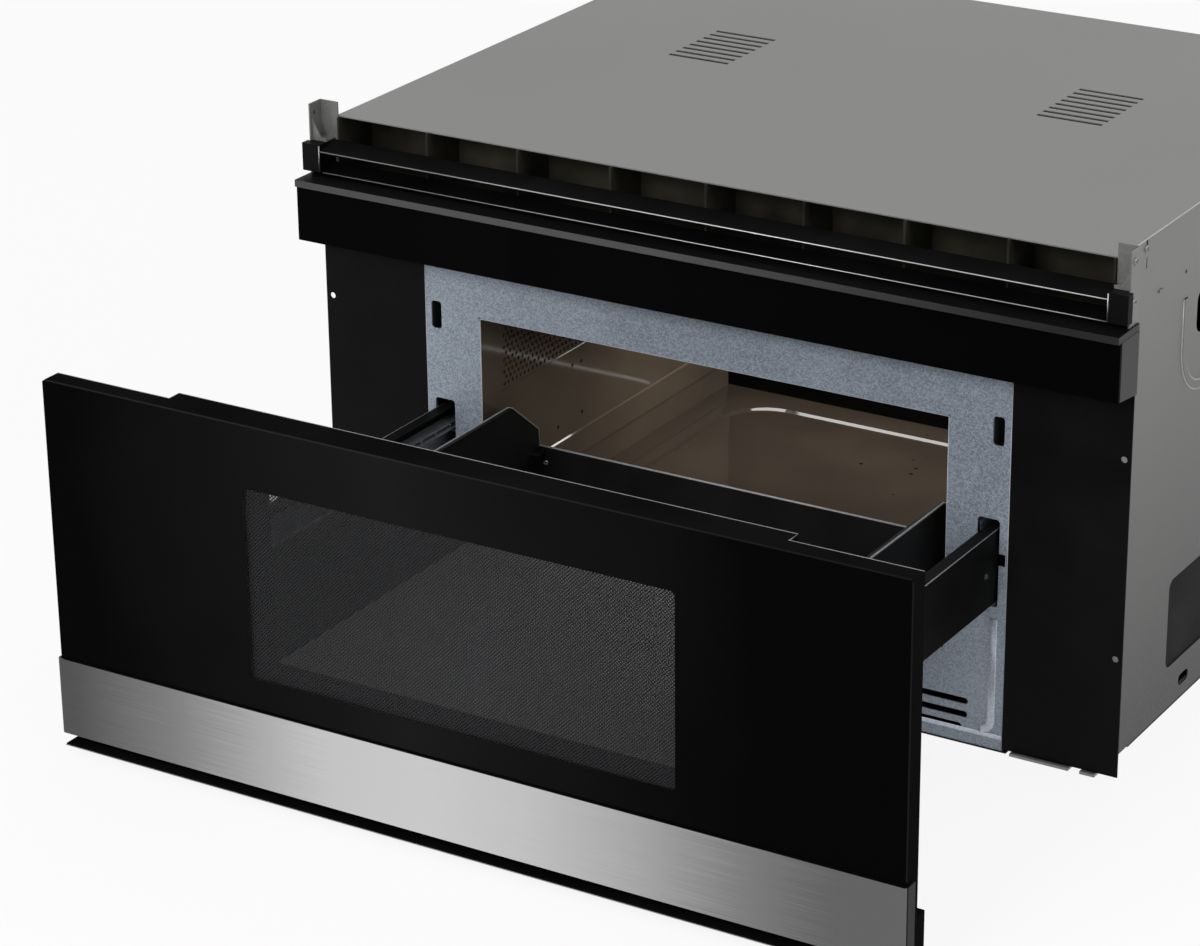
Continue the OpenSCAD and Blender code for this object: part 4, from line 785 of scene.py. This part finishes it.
# %% [markdown]
# ## The pressed floor of the cavity
#
# The floor is one pressed sheet whose middle lies 2.5 mm lower. The press
# rounds the step, and the enamel fills it further, so it draws as a bright
# line wherever it tilts to the light. The CAD floor has the step but not its
# roundness. Here the rings run in from the edge of the sheet, down a slope with
# a round top and foot, and across the middle, then back along the underside.

# %% Cavity floor
SHEET = 1.2
FLOOR_Z, STEP_DROP = 80.6, 2.5
FLOOR_LOW, FLOOR_HIGH, FLOOR_R = (-219.8, 1.4), (219.8, 422.4), 0.5
STEP_LOW, STEP_HIGH, STEP_R = (-183, 33.4), (183, 391.4), 45
STEP_HALF_WIDTH, STEP_RINGS = 1.9, 13

middle = ((STEP_LOW[0] + STEP_HIGH[0]) / 2, (STEP_LOW[1] + STEP_HIGH[1]) / 2)
floor_rings = [(FLOOR_LOW, FLOOR_HIGH, FLOOR_R, FLOOR_Z)]
shares = np.linspace(0, 1, STEP_RINGS)
slopes = np.clip(4 * np.minimum(shares, 1 - shares), 0, 1)
drops = STEP_DROP * np.cumsum(slopes) / slopes.sum()
for share, drop in zip(shares.tolist(), drops.tolist()):
    by = STEP_HALF_WIDTH * (1 - 2 * share)
    floor_rings.append((*grown(STEP_LOW, STEP_HIGH, by), STEP_R + by, FLOOR_Z - drop))
lower = FLOOR_Z - STEP_DROP
floor_rings += [(middle, middle, 0, lower), (middle, middle, 0, lower - SHEET)]
floor_rings.append((STEP_LOW, STEP_HIGH, STEP_R, lower - SHEET))
floor_rings.append((*grown(STEP_LOW, STEP_HIGH, SHEET), STEP_R + SHEET, FLOOR_Z - SHEET))
floor_rings.append((FLOOR_LOW, FLOOR_HIGH, FLOOR_R, FLOOR_Z - SHEET))
floor_sheet = ring_stack("cavity_floor_sheet", floor_rings, upright=False, close=True, smooth=True)
floor_sheet.data.materials.append(cavity_brown)
flat_part = floor_sheet.modifiers.new("sharp_edges", "EDGE_SPLIT")
flat_part.split_angle = math.radians(40)
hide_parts("cavity_floor")
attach(floor_sheet, "case")
print("floor faces:", len(floor_sheet.data.polygons))

# %% [markdown]
# ## Rolled and bare edges
#
# Where a coated sheet ends, the coat is thin over the edge and the light
# catches it. A fine bead of pale material along the edge draws that line with
# its own width, as a painted highlight. A bead is a circle carried along a
# path: at each point the circle lies across the path's direction, and it
# shrinks to a point at both ends.


# %% Beads along edges
def bead(name, path, radius, across, material, body, sides=8, wide=1.0):
    """A bar along path, an array [n, 3] in millimetres, shaped cos(a) * across + wide * sin(a) *
    side: across is a direction that the path never takes, side lies square to both."""
    path, across = np.asarray(path, float), np.asarray(across, float)
    run = np.gradient(path, axis=0)
    run /= np.linalg.norm(run, axis=1, keepdims=True)
    side = np.cross(run, across)
    side /= np.linalg.norm(side, axis=1, keepdims=True)
    reach = np.full(len(path) + 2, float(radius))
    reach[[0, -1]] = 0
    ends = np.concatenate([path[:1], path, path[-1:]])
    side = np.concatenate([side[:1], side, side[-1:]])
    angle = -np.linspace(0, math.tau, sides, endpoint=False)
    cosine, sine = np.cos(angle)[None, :, None], np.sin(angle)[None, :, None]
    ring = cosine * across + wide * sine * side[:, None]
    points = (ends[:, None] + reach[:, None, None] * ring) * MM
    piece = quad_mesh(name, points, close_v=True, weld=True)
    piece.data.materials.append(material)
    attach(piece, body)


ALONG_X, ALONG_Z, TO_FRONT = (1, 0, 0), (0, 0, 1), (0, -1, 0)
SIDES = (("left", -1), ("right", 1))
print("beads lie across", ALONG_X, ALONG_Z, "or", TO_FRONT)

# %% [markdown]
# ## Worn and highlighted edges of the tray
#
# Hands, dishes and cloths rub the tray's rim. The coat is polished through to a
# dull steel grey, and the pale bead is a painted highlight as well; the back
# edge is a still paler copy, a painted highlight where the light falls on it.
# Each side of the rim rises from the low back to the full height of the wall,
# so its path takes five points.

# %% Tray edges
TRAY_X, TRAY_TOP, TRAY_BACK_TOP, TRAY_BACK_Y = 206.9, 196.9, 145.9, 68.4
TRAY_EDGE_R = 0.85
side_path = np.array([
    (-341.5, TRAY_TOP), (20.5, TRAY_TOP), (27.5, 194), (67.6, 161.5),
    (TRAY_BACK_Y, TRAY_BACK_TOP),
])
# Wear has polished the coat on these edges to a dull steel grey, and the pale bead is also a
# painted highlight
worn_and_highlight_edge = flecked("worn_tray_edge_and_painted_highlight", "#8b8b8c", "#b4b4b5", 2.0, 0.35)
for label, sign in SIDES:
    path = np.column_stack([np.full(len(side_path), sign * TRAY_X), side_path])
    bead("tray_edge_" + label, path, TRAY_EDGE_R, ALONG_X, worn_and_highlight_edge, "drawer")
# The back edge is a paler copy of the same edge: a painted highlight where light falls straight on
# it
tray_back_highlight = flecked("tray_back_edge_painted_highlight", "#b2b2b1", "#d6d6d5", 2.0, 0.3)
path = [(-TRAY_X, TRAY_BACK_Y, TRAY_BACK_TOP), (TRAY_X, TRAY_BACK_Y, TRAY_BACK_TOP)]
bead("tray_edge_back", path, TRAY_EDGE_R, ALONG_Z, tray_back_highlight, "drawer")
print("tray rim at z =", TRAY_TOP, "mm, back edge at", TRAY_BACK_TOP)

# %% [markdown]
# ## Painted highlights on the louvre noses
#
# Each blade of the louvre ends in a rolled nose, and an end block closes it at
# both sides. A pale metal bead along the front of the nose and of the block's
# edge draws a painted highlight there. Each bead sits half inside the piece
# below it, so only a thin part of its roundness shows and shines.

# %% Louvre edges
BLOCK_X, BLOCK_Y, BLOCK_Z, BLOCK_R = 361.6, -23.9, (394.6, 417.4), 0.6
NOSE_X, NOSE_R = 361.2, 0.65
NOSE_PLACES = {"upper": (-23.8, 412.4), "lower": (-19.4, 392.9)}
for label, sign in SIDES:
    path = [(sign * BLOCK_X, BLOCK_Y, z) for z in BLOCK_Z]
    bead("louvre_edge_" + label, path, BLOCK_R, ALONG_X, louvre_highlight_metal, "case")
for label, place in NOSE_PLACES.items():
    path = [(-NOSE_X, *place), (0, *place), (NOSE_X, *place)]
    bead("louvre_edge_" + label, path, NOSE_R, ALONG_Z, louvre_highlight_metal, "case")
print("nose bead radius:", NOSE_R, "mm")

# %% [markdown]
# ## Painted highlights along the drawer frame
#
# A thin pale line, a painted highlight, runs along the rear edge of the frame
# and of the raised choke, and along the front of the sill plate.

# %% Frame edges
RIM_X, RIM_REAR, RIM_TOP = 378.6, -356.1, 321.6
CHOKE_X, CHOKE_REAR, CHOKE_TOP = 271.6, -342.1, 320.9
SILL_X, SILL_Y, SILL_Z = 379.8, -376.4, 6.9
PARTING_R = 0.4
# A pale grey bead on the frame's edges: a painted highlight
frame_edge_highlight = flecked("frame_edge_painted_highlight", "#8c8c8d", "#a9a9aa", 2.0, 0.3)
frame_paths = {}
for label, sign in SIDES:
    frame_paths[label] = [(sign * x, RIM_REAR, RIM_TOP) for x in (RIM_X, CHOKE_X)]
half_choke = [(-CHOKE_X, RIM_REAR, CHOKE_TOP), (-CHOKE_X, CHOKE_REAR, CHOKE_TOP)]
frame_paths["choke"] = half_choke + [(-x, y, z) for x, y, z in reversed(half_choke)]
frame_paths["sill"] = [(-SILL_X, SILL_Y, SILL_Z), (SILL_X, SILL_Y, SILL_Z)]
for label, path in frame_paths.items():
    bead("frame_edge_" + label, path, PARTING_R, ALONG_Z, frame_edge_highlight, "drawer")
print("frame edges:", len(frame_paths))

# %% [markdown]
# ## Sheared edges of the plate and the case
#
# The front plate and the case sheets are cut on a shear. The bare cut, with a
# painted highlight on it, draws a fine pale line round the drawer's opening, up
# both sides of the plate and along the top of the case.

# %% Sheared edges
PLATE_Y, PLATE_X, PLATE_Z = 0.5, 274.4, (1, 329)
OPENING_X, OPENING_Z = 219.9, (80.6, 281.4)
CASE_EDGE_X, CASE_EDGE_Y, CASE_EDGE_Z = 359.6, (2, 589), 437.7
UPRIGHT_R, LINTEL_R, CASE_EDGE_R = 0.45, 0.4, 0.5
# Sheared steel is bare beside the spangle, and its bright tone is also a painted highlight
sheared_and_highlight_edge = flecked("sheared_steel_edge_and_painted_highlight", "#b4b6b9", "#d2d4d6", 2.0, 0.3)
for label, sign in SIDES:
    for kind, x, span in (("opening", OPENING_X, OPENING_Z), ("plate", PLATE_X, PLATE_Z)):
        path = [(sign * x, PLATE_Y, z) for z in span]
        bead(f"{kind}_edge_{label}", path, UPRIGHT_R, ALONG_X, sheared_and_highlight_edge, "case")
    path = [(sign * CASE_EDGE_X, y, CASE_EDGE_Z) for y in CASE_EDGE_Y]
    bead("case_edge_" + label, path, CASE_EDGE_R, ALONG_Z, sheared_and_highlight_edge, "case")
path = [(-OPENING_X, PLATE_Y, OPENING_Z[1]), (OPENING_X, PLATE_Y, OPENING_Z[1])]
bead("opening_edge_top", path, LINTEL_R, ALONG_Z, sheared_and_highlight_edge, "case")
print("opening:", 2 * OPENING_X, "mm wide")

# %% [markdown]
# ## Ribs pressed into the sheets
#
# A press stiffens thin sheet with raised ribs. One runs round under each hand
# hole: a flat land with a pale line at both its bends, a painted highlight,
# drawn as three beads side by side. One shaped like a J stands in each lower
# corner of the front plate, and the plate's lowest strip leans back from a soft
# crease; both are drawn in pale zinc as painted highlights. All are flat beads,
# much wider than they are high.

# %% Ribs round the hand holes
HOLD_Y, HOLD_HALF, HOLD_R = 199, 67, 42
HOLD_TOP, HOLD_LOW, SIDE_X = 364, 279.5, 359.9
RIB_SIDES = 16
turns = np.linspace(math.pi, math.tau, 25)
for part, grow, rise, wide, finish in (
    ("land", 0, 1.2, 3.0, case_steel),
    ("inner", -3.4, 1.0, 1.3, rib_highlight_steel),
    ("outer", 3.4, 1.0, 1.3, rib_highlight_steel),
):
    arc_y = np.sign(np.cos(turns)) * (HOLD_HALF - HOLD_R) + (HOLD_R + grow) * np.cos(turns)
    arc_z = HOLD_LOW + HOLD_R + (HOLD_R + grow) * np.sin(turns)
    hold_y = HOLD_Y + np.concatenate([arc_y[:1], arc_y, arc_y[-1:]])
    hold_z = np.concatenate([[HOLD_TOP], arc_z, [HOLD_TOP]])
    for label, sign in SIDES:
        path = np.column_stack([np.full(len(hold_y), sign * SIDE_X), hold_y, hold_z])
        bead(
            f"hold_edge_{part}_{label}", path, rise, (sign, 0, 0), finish, "case",
            sides=RIB_SIDES, wide=wide,
        )
print("hand hole ribs reach down to z =", HOLD_LOW, "mm")

# %% Ribs of the front plate
J_X, J_Y, J_TOP, J_LOW, J_R = 264.3, 0.3, 116, 26, 9
J_RISE, J_WIDE = 1.0, 3.8
hook = np.linspace(0, -math.pi / 2, 13)
for label, sign in SIDES:
    j_x = np.concatenate([[J_X], J_X - J_R + J_R * np.cos(hook)])
    j_z = np.concatenate([[J_TOP], J_LOW + J_R * np.sin(hook)])
    path = np.column_stack([sign * j_x, np.full(len(j_x), J_Y), j_z])
    bead(
        "corner_edge_" + label, path, J_RISE, TO_FRONT, plate_highlight_zinc, "case",
        sides=RIB_SIDES, wide=J_WIDE,
    )
CREASE_X, CREASE_Z, CREASE_RISE, CREASE_WIDE = 274, 12.5, 0.8, 2.5
path = [(-CREASE_X, J_Y, CREASE_Z), (CREASE_X, J_Y, CREASE_Z)]
bead(
    "plate_edge_crease", path, CREASE_RISE, TO_FRONT, plate_highlight_zinc, "case",
    sides=RIB_SIDES, wide=CREASE_WIDE,
)
print("crease at z =", CREASE_Z, "mm")

# %% [markdown]
# ## Pale top edges of the slide brackets
#
# Each bracket that carries the drawer on its slide is coated like the tray, and
# the coat is just as thin along its top edge; the pale bead there is partly this
# wear and partly a painted highlight.

# %% Bracket edges
BRACKET_X, BRACKET_Y, BRACKET_TOP, BRACKET_EDGE_R = 264.2, (-341, 79), 193.8, 0.45
for label, sign in SIDES:
    path = [(sign * BRACKET_X, y, BRACKET_TOP) for y in BRACKET_Y]
    bead(
        "bracket_edge_" + label, path, BRACKET_EDGE_R, ALONG_Z, worn_and_highlight_edge, "drawer",
    )

# %% [markdown]
# ## Screws
#
# The case is held by zinc-plated pan head screws with a cross recess. The head
# is a flat dome: its height falls with the fourth power of the radius, which
# keeps the top flat and rounds the rim. Two slots at right angles, nearly as
# deep as the head, make the cross, and their shade draws it.


# %% Pan head screws
DOME_FALL, CROSS_REACH, CROSS_DEPTH = 0.75, 0.62, 0.85


def pan_head(places, turn, radius=3.2, height=1.8, cross=0.7, rings=15, steps=48):
    """Points of domed heads: height * (1 - DOME_FALL (r / radius)^4) less the cross, on a disc."""
    share, angle = np.meshgrid(
        np.linspace(1, 0, rings), np.linspace(0, math.tau, steps, endpoint=False), indexing="ij"
    )
    a, b = share * radius * np.cos(angle), share * radius * np.sin(angle)
    rise = height * (1 - DOME_FALL * share**4)
    spoke = np.minimum(np.abs(a), np.abs(b))
    cut = (spoke < cross) & (share < CROSS_REACH)
    rise = np.where(cut, rise - height * CROSS_DEPTH, rise)
    skirt = np.stack([a[:1], b[:1], np.zeros_like(a[:1])], axis=-1)
    head = np.concatenate([skirt, np.stack([a, b, rise], axis=-1)])
    return [np.array(place) + head @ turn.T for place in places]


def head_set(name, places, turn, body, material, slot, **shape):
    """All heads of one set as a single piece, turned so that their tops face out."""
    heads = []
    for index, points in enumerate(pan_head(places, turn, **shape)):
        points = points * MM
        heads.append(quad_mesh(f"{name}_{index}", points[:, ::-1], close_v=True, weld=True))
    with bpy.context.temp_override(active_object=heads[0], selected_editable_objects=heads):
        bpy.ops.object.join()
    piece = heads[0]
    piece.name = name
    piece.data.materials.append(material)
    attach(piece, body)
    return piece


CASE_X, STRIP_X = 360, 376.4
side_places = [(48.8, 430.5), (560, 400), (560, 60), (420, 30)]
strip_places = [(-9.3, 408.5), (-9.3, 441)]
for label, sign in SIDES:
    places = [(sign * CASE_X, y, z) for y, z in side_places]
    places += [(sign * STRIP_X, y, z) for y, z in strip_places]
    turn = np.array([[0, 0, sign], [0, 1, 0], [-sign, 0, 0]], float)
    head_set("case_screws_" + label, places, turn, "case", screw_zinc, "bright_steel")
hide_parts("case_screws")
TRAY_SCREW = (-199.9, 67.9, 131)
turn = np.array([[1, 0, 0], [0, 0, -1], [0, 1, 0]], float)
head_set(
    "tray_screw", [TRAY_SCREW], turn, "drawer", screw_zinc, "bright_steel",
    radius=2.6, height=1.3, cross=0.4,
)
# Plain rivet heads hold the slides to their brackets
RIVET_X, RIVET_Z = 264.4, 160
rivet_rows = (-308.2, -164.8, -17.1, 58.9)
for label, sign in SIDES:
    turn = np.array([[0, 0, sign], [0, 1, 0], [-sign, 0, 0]], float)
    head_set(
        "rivets_" + label, [(sign * RIVET_X, y, RIVET_Z) for y in rivet_rows], turn, "drawer",
        case_steel, "bright_steel", radius=2.6, height=1.2, cross=0.0,
    )

# %% [markdown]
# ## Small holes in the floor and walls
#
# Three small holes and three pin holes are punched through the cavity floor,
# and four holes through each wall. Each is drawn as a dark spot, painted shade
# in place of the hole, on a very low dome without a cross.

# %% Floor and wall holes
# A near-black disc for each hole, with a soft gloss at its rim: painted shade
hole_shade = powder_coat("hole_painted_shade", "#0a0908", "#12100e", (0.3, 0.4), gloss=0.2)
holes = [(-21, 315, lower), (29, 316, lower), (27, 330, lower)]
pins = [(37, 266, lower), (16, 347, lower), (2, 400, FLOOR_Z)]
for name, places, radius in (("floor_holes", holes, 2.0), ("floor_pins", pins, 1.1)):
    head_set(
        name, places, np.eye(3), "case", hole_shade, "cavity_enamel",
        radius=radius, height=0.12, cross=0.0, rings=5, steps=20,
    )
WALL_X = 219.7
wall_places = [(145, 192), (160, 191), (160, 143), (120, 142)]
for label, sign in SIDES:
    turn = np.array([[0, 0, -sign], [0, 1, 0], [sign, 0, 0]], float)
    head_set(
        "wall_holes_" + label, [(sign * WALL_X, y, z) for y, z in wall_places], turn, "case",
        hole_shade, "cavity_enamel", radius=1.6, height=0.12, cross=0.0, rings=5, steps=20,
    )
print("floor spots:", len(holes) + len(pins), "wall spots:", 2 * len(wall_places))

# %% [markdown]
# ## A dark sheet behind the rear sheet
#
# A dark sheet hangs inside the rear sheet, painted shade for the inside of the
# case, so the slots of the sheet show black and no daylight comes through to the
# hand holes.

# %% Rear shade sheet
SHADE_SHEET_LOW, SHADE_SHEET_HIGH, SHADE_SHEET_R = (-345, 20), (345, 425), 12
SHADE_SHEET_FRONT, SHADE_SHEET_BACK = 582, 586
rear_shade_sheet = rounded_plate(
    "rear_painted_shade_sheet", SHADE_SHEET_LOW, SHADE_SHEET_HIGH, SHADE_SHEET_R, SHADE_SHEET_FRONT, SHADE_SHEET_BACK
)
# Painted shade: the pan's dark coat on a sheet that stands for the shade inside the case
rear_shade_sheet.data.materials.append(pan_dark)
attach(rear_shade_sheet, "case")
print("blanket faces:", len(rear_shade_sheet.data.polygons))
